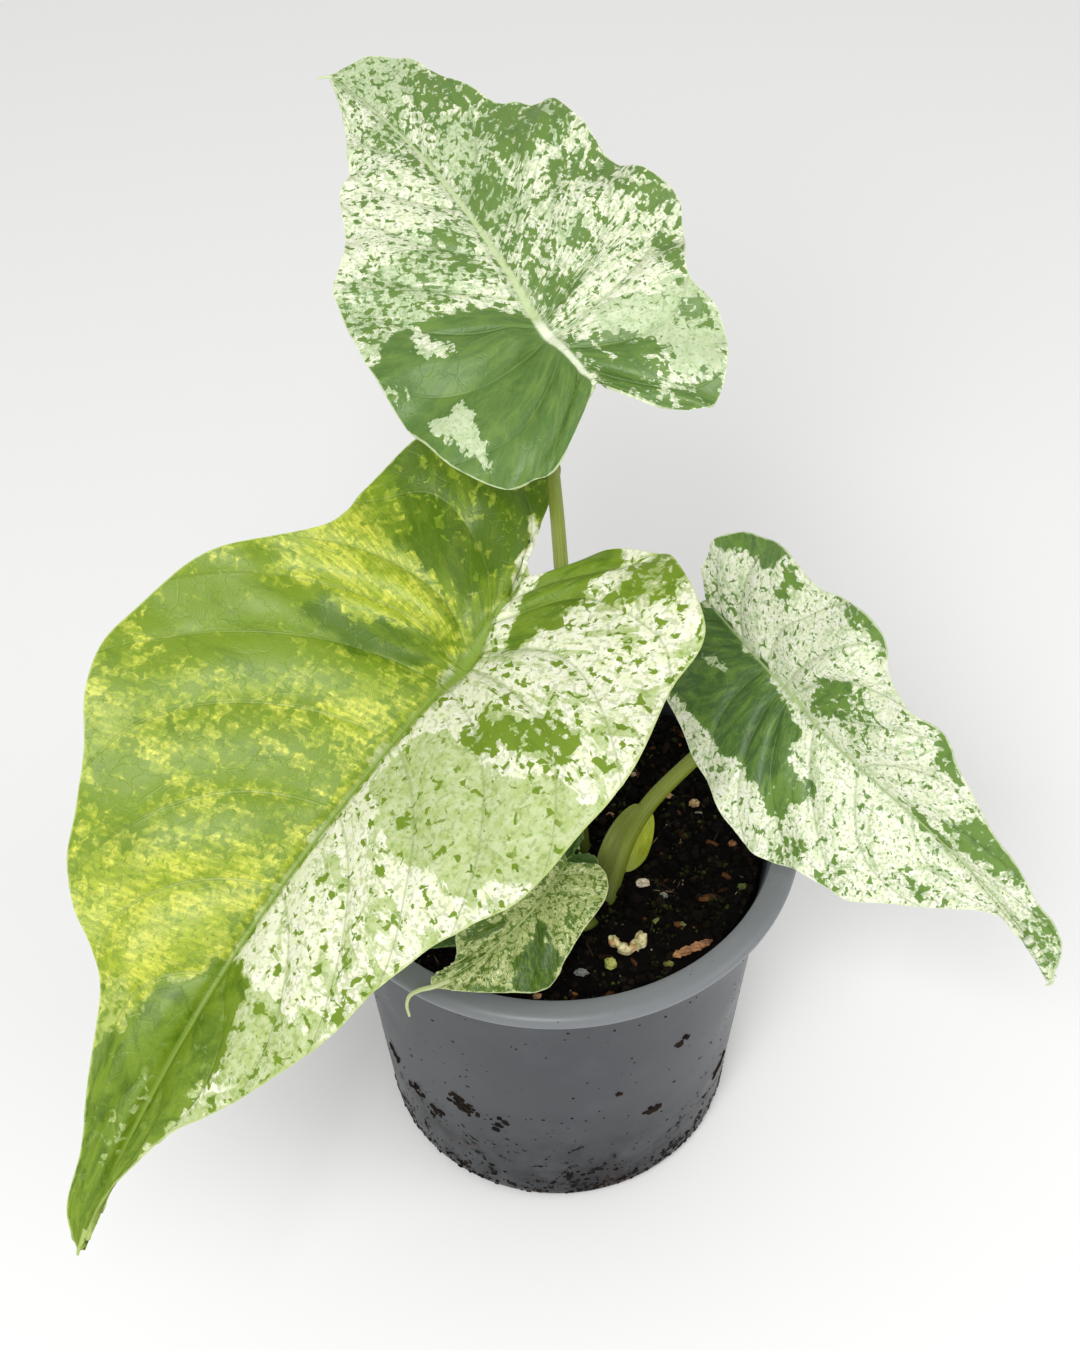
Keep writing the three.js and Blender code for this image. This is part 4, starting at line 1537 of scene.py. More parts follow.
class Litter:
    """Many copies of the crumb that become one piece."""

    def __init__(self, name: str, crumb: Crumb) -> None:
        """Starts with no copies.

        Args:
            name: Name of the piece and of its material.
            crumb: The shape that is copied.
        """
        self.name = name
        self.crumb = crumb
        self.vertices: list[Place] = []
        self.faces: list[tuple[int, ...]] = []
        self.tones: list[float] = []

    def add(self, where: np.ndarray, tone: float) -> None:
        """Adds one copy.

        Args:
            where: The copy's vertices in mm.
            tone: How light it is, 0 to 1.
        """
        first = len(self.vertices)
        self.faces += [tuple(first + corner for corner in face) for face in self.crumb.faces]
        self.vertices += [tuple(place) for place in where * MM]
        self.tones += [tone] * len(where)

    def close(self, slot: Slot, finish: EarthFinish) -> None:
        """Makes the copies one finished piece.

        Args:
            slot: Its material slot.
            finish: Its finish.
        """
        mesh = bpy.data.meshes.new(self.name)
        mesh.from_pydata(self.vertices, [], self.faces)
        piece = bpy.data.objects.new(self.name, mesh)
        bpy.context.scene.collection.objects.link(piece)
        store(piece, "tone", np.array(self.tones))
        smoothed(piece, 55.0)
        finished(piece, slot.value, [], finish.make(self.name))


@dataclass(frozen=True)
class Scatter:
    """A kind of crumb: how many, how big, which shape and which finish."""

    name: str
    count: int
    size: tuple[float, float]
    stretch: Place
    finish: EarthFinish
    slot: Slot = Slot.SOIL
    patchy: bool = False


@dataclass(frozen=True)
class Soil:
    """The fill of the pot, with crumbs of peat, moss, perlite, bark and fibres on its top."""

    pot: Pot
    level: float = 95.0
    lump: float = 1.6
    rings: int = 90
    spokes: int = 260
    clearance: float = 0.3
    strewn_radius: float = 50.0
    sunk: float = 0.3
    settled: float = 0.3
    seed: int = 7
    keep_clear: tuple[Place, ...] = ()
    # Partly painted shade: the peat is dark, and the top, peat and moss tones are darkened further for the
    # shade under the leaves.
    top_finish: EarthFinish = EarthFinish("#010101", "#100b07", 420.0)
    kinds: tuple[Scatter, ...] = (
        Scatter("peat_crumbs", 2900, (0.6, 2.1), (1.0, 0.85, 0.75), EarthFinish("#020101", "#261d14")),
        Scatter("peat_clods", 460, (1.6, 3.6), (1.0, 0.8, 0.65), EarthFinish("#020101", "#18120c")),
        Scatter("moss_tufts", 1700, (0.4, 1.5), (1.0, 0.7, 0.8), EarthFinish("#060903", "#4a5520"),
                patchy=True),
        Scatter("bark_bits", 330, (1.0, 3.6), (1.0, 0.4, 0.3), EarthFinish("#0d0704", "#7d5230"),
                Slot.BARK),
        Scatter("root_fibres", 110, (3.0, 7.5), (1.0, 0.06, 0.06), EarthFinish("#1c130b", "#94795a"),
                Slot.BARK),
        Scatter("perlite_bits", 30, (0.4, 1.1), (1.0, 0.9, 0.8), EarthFinish("#57503f", "#d8cfba"),
                Slot.PUMICE),
        Scatter("algae_bits", 34, (0.5, 1.3), (1.0, 0.7, 0.6), EarthFinish("#2c330e", "#9ca048"),
                Slot.MOSSY_GRIT, patchy=True),
    )

    def height(self, x: np.ndarray, y: np.ndarray) -> np.ndarray:
        """Gives the height of the soil's top in mm.

        Args:
            x: Places across in mm.
            y: Places away in mm.

        Returns:
            Heights, level under each loose piece.
        """
        broad = np.sin(x * 0.19 + 1.3) * np.cos(y * 0.17 - 0.6)
        small = np.sin(x * 0.63 + y * 0.41) * np.cos(y * 0.71 - x * 0.23 + 2.1)
        rough = np.array([noise.fractal((a * 0.33, b * 0.33, 3.1), 0.9, 2.1, 4) for a, b in zip(x, y)])
        lump = self.lump * (0.55 * broad + 0.45 * small) + 1.1 * rough
        for clear_x, clear_y, radius in self.keep_clear:
            lump = lump * smooth(0, 5, np.hypot(x - clear_x, y - clear_y) - radius)
        return self.level + lump - self.settled

    def build(self) -> None:
        """Builds the fill as one closed body under a crumbly top."""
        top = self.pot.wall_top_radius - self.pot.wall - self.clearance
        side = self.pot.base_radius - self.pot.wall - self.clearance
        bottom = self.pot.floor + self.clearance
        under = [(0.0, bottom), (self.pot.base_radius - self.pot.base_corner - self.clearance, bottom),
                 (side, self.pot.base_corner + 1.5), (top - 0.3, self.level - 3)]
        piece, row, column = lattice("soil_fill", self.rings + len(under) - 1, self.spokes)
        angle = 2 * math.pi * column / self.spokes
        step = row.astype(int)
        radius = np.array([*(p[0] for p in under), *np.linspace(top - 0.3, 0, self.rings + 1)[1:]])[step]
        x, y = radius * np.cos(angle), radius * np.sin(angle)
        z = np.array([*(p[1] for p in under), *[0.0] * self.rings])[step]
        on_top = step >= len(under)
        z[on_top] = self.height(x[on_top], y[on_top])
        place_all(piece, np.stack([x, y, z], axis=1) * MM)
        store(piece, "tone", np.full(len(x), 0.5))
        weld(piece)
        smoothed(piece, 70.0)
        finished(piece, Slot.SOIL.value, ["soil"], self.top_finish.make("soil_top"))

    def spots(self, kind: Scatter, draw: random.Random) -> list[Point]:
        """Picks the places of one kind of crumb.

        Args:
            kind: The kind of crumb.
            draw: The seeded draws.

        Returns:
            Places across and away in mm, none under a loose piece.
        """
        spots = []
        while len(spots) < kind.count:
            angle = draw.uniform(0, 2 * math.pi)
            radius = math.sqrt(draw.uniform(0.0, self.strewn_radius**2))
            spot = (radius * math.cos(angle), radius * math.sin(angle))
            cloud = noise.noise((spot[0] / 7, spot[1] / 7, 5.0))
            if kind.patchy and cloud < draw.uniform(-0.15, 0.35):
                continue
            if all(math.hypot(spot[0] - x, spot[1] - y) > clear + 0.4 for x, y, clear in self.keep_clear):
                spots.append(spot)
        return spots

    def scatter(self, kind: Scatter, crumb: Crumb, draw: random.Random) -> None:
        """Strews one kind of crumb over the soil.

        Args:
            kind: The kind of crumb.
            crumb: The shape that is copied.
            draw: The seeded draws.
        """
        litter = Litter(kind.name, crumb)
        spots = self.spots(kind, draw)
        least, greatest = kind.size
        for (x, y), ground in zip(spots, self.height(*np.array(spots).T)):
            size = least + (greatest - least) * draw.random() ** 2.2
            rough = crumb.roughened(draw, 0.7, 1.15) * kind.stretch * size
            spin = Matrix.Rotation(draw.uniform(0, 2 * math.pi), 3, "Z")
            turn = spin @ Matrix.Rotation(draw.uniform(-0.6, 0.6), 3, "X")
            lift = ground + size * kind.stretch[2] * (0.5 - self.sunk)
            litter.add(rough @ np.array(turn).T + (x, y, lift), 0.06 + 0.94 * draw.random() ** 2.4)
        litter.close(kind.slot, kind.finish)

    def strew(self, crumb: Crumb) -> None:
        """Strews every kind of crumb over the soil's top.

        Args:
            crumb: The shape that is copied.
        """
        draw = random.Random(self.seed)
        for kind in self.kinds:
            self.scatter(kind, crumb, draw)


@dataclass(frozen=True)
class PotDirt:
    """Soil that sticks to the outside of the pot: a ring at its foot, specks and a few clumps."""

    pot: Pot
    clumps: tuple[tuple[float, float, float, int], ...] = (
        (-120.4, 41.5, 3.2, 34), (-120.6, 40.2, 1.7, 30), (-151.6, 36.0, 2.6, 20), (-141.0, 31.5, 3.0, 16),
        (-133.0, 27.5, 2.4, 12), (-25.1, 26.8, 2.6, 22), (-53.6, 65.9, 1.5, 8), (-60.2, 38.7, 1.8, 8),
        (-73.8, 53.7, 1.0, 4), (-108.2, 38.3, 2.2, 8), (40.0, 30.0, 2.8, 16), (120.0, 44.0, 2.4, 14),
    )
    ring_count: int = 620
    speck_count: int = 380
    seed: int = 23
    finish: EarthFinish = EarthFinish("#0a0705", "#34251a")

    def spots(self) -> list[Place]:
        """Picks the specks: first the clumps, given by angle, height, spread and count.

        Returns:
            Each speck's angle in degrees, height in mm and size in mm.
        """
        draw = random.Random(self.seed)
        spots = []
        for angle, height, spread, count in self.clumps:
            for _ in range(count):
                turn = angle + draw.gauss(0, spread * 0.7)
                spots.append((turn, height + draw.gauss(0, spread * 0.6), draw.uniform(0.6, 2.0)))
        for _ in range(self.ring_count):
            spots.append((draw.uniform(0, 360), 3.2 + abs(draw.gauss(0, 4.5)), draw.uniform(0.3, 1.3)))
        for _ in range(self.speck_count):
            spots.append((draw.uniform(0, 360), 6 + 86 * draw.random() ** 1.6, draw.uniform(0.2, 0.7)))
        return spots

    def build(self, crumb: Crumb) -> None:
        """Sets the specks on the wall, each flattened against it.

        Args:
            crumb: The shape that is copied.
        """
        draw = random.Random(self.seed + 1)
        litter = Litter("pot_dirt", crumb)
        for degrees, height, size in self.spots():
            rough = crumb.roughened(draw, 0.6, 1.2) * size
            flat = rough * (0.3, draw.uniform(0.6, 1.3), draw.uniform(0.5, 1.0))
            angle = math.radians(degrees)
            radius = self.pot.wall_radius(height)
            turn = np.array(Matrix.Rotation(angle, 3, "Z"))
            where = (radius * math.cos(angle), radius * math.sin(angle), height)
            litter.add(flat @ turn.T + where, draw.uniform(0.1, 1.0))
        litter.close(Slot.SOIL, self.finish)


def lumpy_ball(name: str, detail: int, scale: float, shift: float,
               octaves: int) -> tuple[np.ndarray, np.ndarray, Piece]:
    """Adds a ball and reads an uneven pattern over it.

    Args:
        name: Name of the piece.
        detail: How often the ball is divided.
        scale: How small the pattern's lumps are.
        shift: Where the pattern is read, so that no two stones are alike.
        octaves: How many finer layers the pattern has.

    Returns:
        The ball's vertices, the pattern at each of them, and the piece.
    """
    bpy.ops.mesh.primitive_ico_sphere_add(subdivisions=detail, radius=0.5)
    piece = named(name)
    unit = places(piece)
    bumps = [noise.fractal(Vector(p) * scale + Vector((shift, 0, 0)), 0.8, 2.2, octaves) for p in unit]
    return unit, np.array(bumps), piece


@dataclass(frozen=True)
class Grain:
    """One loose stone on the soil, modelled over its frame node."""

    node: str
    slot: Slot
    finish: StoneFinish
    rough: float = 0.27
    seed: float = 0.0

    def build(self) -> None:
        """Builds the stone in its node's box."""
        low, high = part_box(self.node)
        unit, bumps, piece = lumpy_ball(f"stone_{self.node}", 5, 3.2, self.seed, 4)
        pits = np.array([noise.cell_vector(Vector(p) * 9.0)[0] for p in unit])
        shaped = unit * (0.96 + self.rough * bumps - 0.02 * pits)[:, None]
        shaped[:, 2] = np.maximum(shaped[:, 2], -0.38)
        span = shaped.max(axis=0) - shaped.min(axis=0)
        middle = (shaped.max(axis=0) + shaped.min(axis=0)) / 2
        size = np.array(high - low)
        place_all(piece, (shaped - middle) / span * size + np.array((low + high) / 2))
        smoothed(piece, 80.0)
        finished(piece, self.slot.value, [self.node], self.finish.make(self.node))


@dataclass(frozen=True)
class Pebble:
    """One small stone or crust half sunk in the soil, seen from above."""

    at: Point
    size: float
    colour: str
    shade: str
    slot: Slot = Slot.PUMICE

    def build(self, number: int, soil: Soil) -> None:
        """Builds the stone on the soil.

        Args:
            number: Its number, for its name and shape.
            soil: The soil that it lies in.
        """
        unit, bumps, piece = lumpy_ball(f"pebble_{number}", 4, 3.4, number * 3.7, 3)
        shaped = unit * (1 + 0.42 * bumps)[:, None] * self.size * (1.05, 0.8, 0.7)
        ground = soil.height(np.array([self.at[0]]), np.array([self.at[1]]))[0]
        place_all(piece, (shaped + (*self.at, ground + 0.25 * self.size)) * MM)
        smoothed(piece, 80.0)
        finish = StoneFinish(self.colour, self.shade, "#2b2014", self.shade, 0.6)
        finished(piece, self.slot.value, [], finish.make(f"pebble_{number}"))


PEBBLES = (
    Pebble((28.4, 12.6), 2.6, "#cfa878", "#93643c", Slot.TAN_GRIT),
    Pebble((35.9, 6.9), 1.7, "#b9ac93", "#84765c"),
    Pebble((13.8, 7.9), 1.8, "#c2a888", "#86684a", Slot.TAN_GRIT),
    Pebble((19.8, 19.3), 1.6, "#bba689", "#84694b", Slot.TAN_GRIT),
    Pebble((-5.1, -47.6), 1.8, "#cda57a", "#93663f", Slot.TAN_GRIT),
    Pebble((26.0, -38.8), 2.2, "#86803c", "#4d581c", Slot.MOSSY_GRIT),
    Pebble((45.0, -16.4), 2.0, "#757b36", "#424d18", Slot.MOSSY_GRIT),
    Pebble((29.8, -27.0), 1.6, "#8c8f50", "#555c24", Slot.MOSSY_GRIT),
    Pebble((23.8, -26.4), 1.7, "#868a48", "#4d5820", Slot.MOSSY_GRIT),
    Pebble((25.8, -18.6), 1.9, "#9c9a88", "#66655a"),
    Pebble((43.7, -2.0), 2.0, "#9c6a42", "#5c3a20", Slot.BARK),
)


@dataclass(frozen=True)
class BarkChip:
    """The split orange-brown chip at the front right of the soil."""

    node: str = "bark_chip"
    turn: float = 25.0
    length: float = 11.0
    width: float = 2.3
    thickness: float = 1.5
    finish: WoodFinish = WoodFinish("#6b4325", "#bd875a", "#4a2a14", 1500.0, (0.25, 0.9, 1.0))

    def build(self) -> None:
        """Builds the chip as a ridged, splintered sliver in its node's box."""
        low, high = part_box(self.node)
        centre = (low + high) / 2 / MM
        share = np.linspace(0, 1, 61)
        turn = math.radians(self.turn)
        heading = np.tile((math.cos(turn), math.sin(turn), 0.0), (61, 1))
        where = np.array(centre) + (share[:, None] - 0.5) * self.length * 0.97 * heading
        splinter = 1 + 0.14 * np.sin(23 * share) + 0.09 * np.sin(51 * share + 1)
        taper = np.clip(np.minimum(share * 7, (1 - share) * 4) + 0.18, 0, 1)
        radius = self.width / 2 * taper * splinter * 0.92
        piece = tube("sliver_bark_chip", where, heading, radius, 30, 0.1, self.thickness / self.width)
        finished(piece, Slot.BARK.value, [self.node], self.finish.make(self.node))


@dataclass(frozen=True)
class BarkCurl:
    """The pale curled sliver of bark in front of the stalks."""

    node: str = "bark_curl"
    at: Point = (16.8, -31.4)
    radius: float = 3.3
    thickness: float = 1.9
    turn: float = 176.0
    sweep: float = 216.0
    finish: WoodFinish = WoodFinish("#8d8446", "#e9dfae", "#c08350", 700.0, (1.0, 1.0, 0.4))

    def build(self) -> None:
        """Builds the curl as a ridged strip round its arc, in its node's box."""
        low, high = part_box(self.node)
        share = np.linspace(0, 1, 81)
        angle = np.radians(self.turn + self.sweep * share)
        sway = self.radius + 0.35 * np.sin(19 * share)
        middle = (low.z + high.z) / 2 / MM
        rise = middle + 0.25 * np.sin(13 * share + 0.6)
        where = np.stack([self.at[0] + sway * np.cos(angle), self.at[1] + sway * np.sin(angle), rise], axis=1)
        heading = np.gradient(where, axis=0)
        heading /= np.linalg.norm(heading, axis=1, keepdims=True)
        lumps = 1 + 0.22 * np.sin(24 * share) + 0.12 * np.sin(43 * share + 2)
        radius = self.thickness / 2 * lumps * np.clip(np.minimum(share, 1 - share) * 14 + 0.3, 0, 1)
        piece = tube("sliver_bark_curl", where, heading, radius * 1.2, 26, 0.14, 1.0)
        finished(piece, Slot.PALE_BARK.value, [self.node], self.finish.make(self.node))


@dataclass(frozen=True)
class Studio:
    """Camera, floor and lights."""

    target: Place = (-3.1, 60.6, 90.0)
    elevation: float = 46.76
    distance: float = 614.2
    roll: float = 1.0
    lens: float = 61.33
    sensor: float = 36.0
    sky: float = 0.6
    aim: Place = (0.0, 0.02, 0.12)

    def set_camera(self) -> None:
        """Puts the camera where the photo was taken from."""
        lift = math.radians(self.elevation)
        back = Vector((0, -math.cos(lift), math.sin(lift)))
        level = Vector((1, 0, 0))
        upright = back.cross(level)
        tilt = math.radians(self.roll)
        right = level * math.cos(tilt) - upright * math.sin(tilt)
        up = level * math.sin(tilt) + upright * math.cos(tilt)
        turn = Matrix((right, up, back)).transposed().to_4x4()
        bpy.ops.object.camera_add()
        camera = bpy.context.object
        place = (Vector(self.target) + back * self.distance) * MM
        camera.matrix_world = Matrix.Translation(place) @ turn
        camera.data.lens = self.lens
        camera.data.sensor_width = self.sensor
        camera.data.clip_end = 20.0
        bpy.context.scene.camera = camera

    def lay_floor(self) -> None:
        """Lays the plain pale floor."""
        bpy.ops.mesh.primitive_plane_add(size=8.0)
        floor = named("floor")
        floor.data.materials.append(FloorFinish().make("floor"))

    def light(self, name: str, place: Place, size: float, power: float) -> None:
        """Hangs one soft square light that looks at the plant.

        Args:
            name: Name of the light.
            place: Where it hangs, in metres.
            size: Its side in metres.
            power: Its power in watts.
        """
        bpy.ops.object.light_add(type="AREA", location=place)
        lamp = bpy.context.object
        lamp.name = name
        lamp.data.size = size
        lamp.data.energy = power
        look = Vector(self.aim) - Vector(place)
        lamp.rotation_euler = look.to_track_quat("-Z", "Y").to_euler()

    def light_up(self) -> None:
        """Lights the plant softly from all round, most from above."""
        scene = bpy.context.scene
        scene.view_settings.view_transform = "Standard"
        world = bpy.data.worlds.new("studio")
        scene.world = world
        world.use_nodes = True
        sky = world.node_tree.nodes["Background"]
        sky.inputs["Color"].default_value = (1.0, 1.0, 1.0, 1.0)
        sky.inputs["Strength"].default_value = self.sky
        self.light("key", place=(-0.16, -0.7, 0.98), size=0.42, power=7.6)
        self.light("side", place=(0.85, -0.25, 0.55), size=0.5, power=1.6)


TOP_LEAF = Leaf(
    name="top", seat=(-2, 10, 248), heading=119, pitch=19, roll=9,
    bend_front=0.002, bend_back=0.0055, midrib_bow=0.0, seam_slope=-0.2, half_width=36, vein_turn=0.52,
    left=Half(6, 0.0045, (1.5, 24, 20), (
        (78, -9.5), (66, -12), (56.5, -15.5), (49.5, -18.5), (46.5, -22), (39.5, -24.5), (32, -28),
        (26, -33.5), (21.5, -34.5), (10, -35.5), (0, -35.5), (-12.5, -34), (-21.5, -30.5), (-29, -24),
        (-30.5, -17.5), (-29.5, -11.5), (-20.5, 0), (-16.5, 3),
    )),
    right=Half(12, 0.004, (2.5, 22, 200), (
        (78, -9.5), (77, -0.5), (73, 5.5), (66.5, 9.5), (57, 14), (50.5, 18), (47.5, 22.5), (45, 27.5),
        (37, 29.5), (29.5, 30.5), (20.5, 33.5), (14, 36.5), (8, 37.5), (0, 34), (-7, 30.5), (-15.5, 32.5),
        (-24, 30), (-31.5, 24), (-32.5, 20), (-28, 12.5), (-16.5, 3),
    )),
    veins=(0.16, 0.27, 0.36, 0.45, 0.555, 0.68, 0.8, 0.92),
    finish=LeafFinish("#edefd9", "#d6dfb8", "#b3c596", "#63823f", "#50722f", warm="#718d31", margin="#dbe5bd",
                      vein="#93ad74", speckle=62.0, streak=0.42, midrib="#c3d49c", seam="#e8edd2",
                      margin_width=0.28, vein_show=0.42, rib_shadow=0.35),
    ground={"green": 0.28, "sage": 0.34},
    seed=1.0, rows=210, columns=36, pucker=0.8, pucker_count=13.0, rib_width=1.35, quilt=1.2,
    creases=(
        Crease(((-3, -1.5), (-9, -8), (-13, -20)), 2.4, 3.2),
        Crease(((-1, -7), (-3, -14), (1, -24)), -1.6, 3.5),
        Crease(((4, -3), (9, -12), (10, -26)), 1.5, 3.2),
        Crease(((3, 2), (10, 9), (14, 24)), 1.8, 3.0),
        Crease(((-4, 4), (-10, 12), (-12, 26)), 1.8, 3.2),
    ),
    thread=((0.9, -0.5, 0), (-0.8, 0, 0), (-2.6, 0, -0.5)), thread_radius=(0.5, 0.15),
    patches=(
        Patch(((84, -12), (84, 4), (66, 9), (63, 3), (60, -2), (66, -6), (70, -9)),
              green=0.3, sage=0.9, feather=2),
        Patch(((62, -3), (60, -9), (53, -11), (53, -4), (57, -2)), green=0.5, sage=0.85),
        Patch(((51, -2), (51, -6), (45, -7), (43, -3)), green=0.72),
        Patch(((52, 1), (52, 10), (42, 10), (36, 4), (36, 1)), green=0.28, sage=0.95),
        Patch(((66, 4), (67, 8), (60, 13), (54, 17), (50, 17), (53, 11), (54, 6), (52, 2), (58, 1.5)),
              green=0.76),
        Patch(((50, 10), (50, 17), (47, 25), (45, 29), (38, 28), (35, 21), (33, 15), (39, 11)),
              green=0.76, sage=0.8),
        Patch(((38, 1), (38, 9), (34, 12), (26, 8), (20, 1)), green=0.5, sage=0.8),
        Patch(((35, 3), (35, 8), (30, 8), (23, 2), (27, 1)), green=0.78),
        Patch(((31, 25), (31, 31), (25, 34), (22, 28), (26, 20), (22, 13), (24, 12), (29, 18)), green=0.66),
        Patch(((22, 27), (18, 36), (10, 38), (9, 33), (14, 29)), green=0.66),
        Patch(((13, 15), (12, 20), (9, 19), (9, 14)), green=0.72),
        Patch(((9, 2), (8, 8), (7, 13), (2, 8), (-1, 3), (1, 1), (5, 2)), green=0.78),
        Patch(((4, 29), (4, 34), (-4, 32), (-5, 28), (0, 27.5)), green=0.78),
        Patch(((22, 2), (22, 12), (14, 12), (9, 6), (9, 2)), green=0.5),
        Patch(((1, 12), (0, 24), (-6, 26), (-5, 14)), green=0.1, sage=0.2),
        Patch(((-4, 8), (-8, 26), (-7, 32), (-20, 34), (-28, 27), (-21, 19), (-14, 17), (-9, 12)),
              green=0.06, sage=0.97),
        Patch(((-11, 25), (-12, 31), (-17, 31), (-16, 24)), green=0.72),
        Patch(((-6, 3), (-8, 8), (-9, 13), (-14, 17), (-19, 19), (-17, 15), (-22, 15), (-28, 13), (-24, 8),
               (-16, 3.5)), green=0.96, deep=0.5),
        Patch(((-26, 19), (-27, 24), (-36, 26), (-34, 19), (-30, 14), (-28, 13)), green=0.88, deep=0.3),
        Patch(((-3, 3), (-6, 5.5), (-14, 8.4), (-15, 9.2), (-8, 7), (-4, 5)),
              green=0.0, sage=0.1, feather=0.8),
        Patch(((40, -6), (30, -12), (24, -26), (26, -36), (50, -22)), green=0.22, sage=0.2),
        Patch(((27, -9), (24, -20), (25, -34), (12, -37), (9, -24), (14, -10)), green=0.42, sage=0.75),
        Patch(((29, -9), (28, -7), (19, -3.5), (13, -2), (17, -8), (22, -10.5)), green=0.76, sage=0.8),
        Patch(((10, -27), (10, -12.5), (6, -6), (1.5, -1.2), (-2, 0), (-8, 1), (-17, 3), (-22, 3), (-34, -12),
               (-34, -24), (-22, -34), (-12, -37), (0, -38), (4, -35), (9, -30)),
              green=1.0, sage=0.5, deep=0.45, feather=1.0),
        Patch(((11, -24), (7, -22), (4, -18.5), (0, -19.5), (1, -24), (4, -25)),
              green=0.15, sage=0.45, feather=1.2),
        Patch(((-3, -31), (-5, -36), (-1, -36), (1, -33)), green=0.45, sage=0.9),
        Patch(((-9, -30), (-10, -23), (-20, -23), (-24, -25), (-19, -27.5), (-15, -31)),
              green=0.04, sage=1.0, feather=0.9),
    ),
)
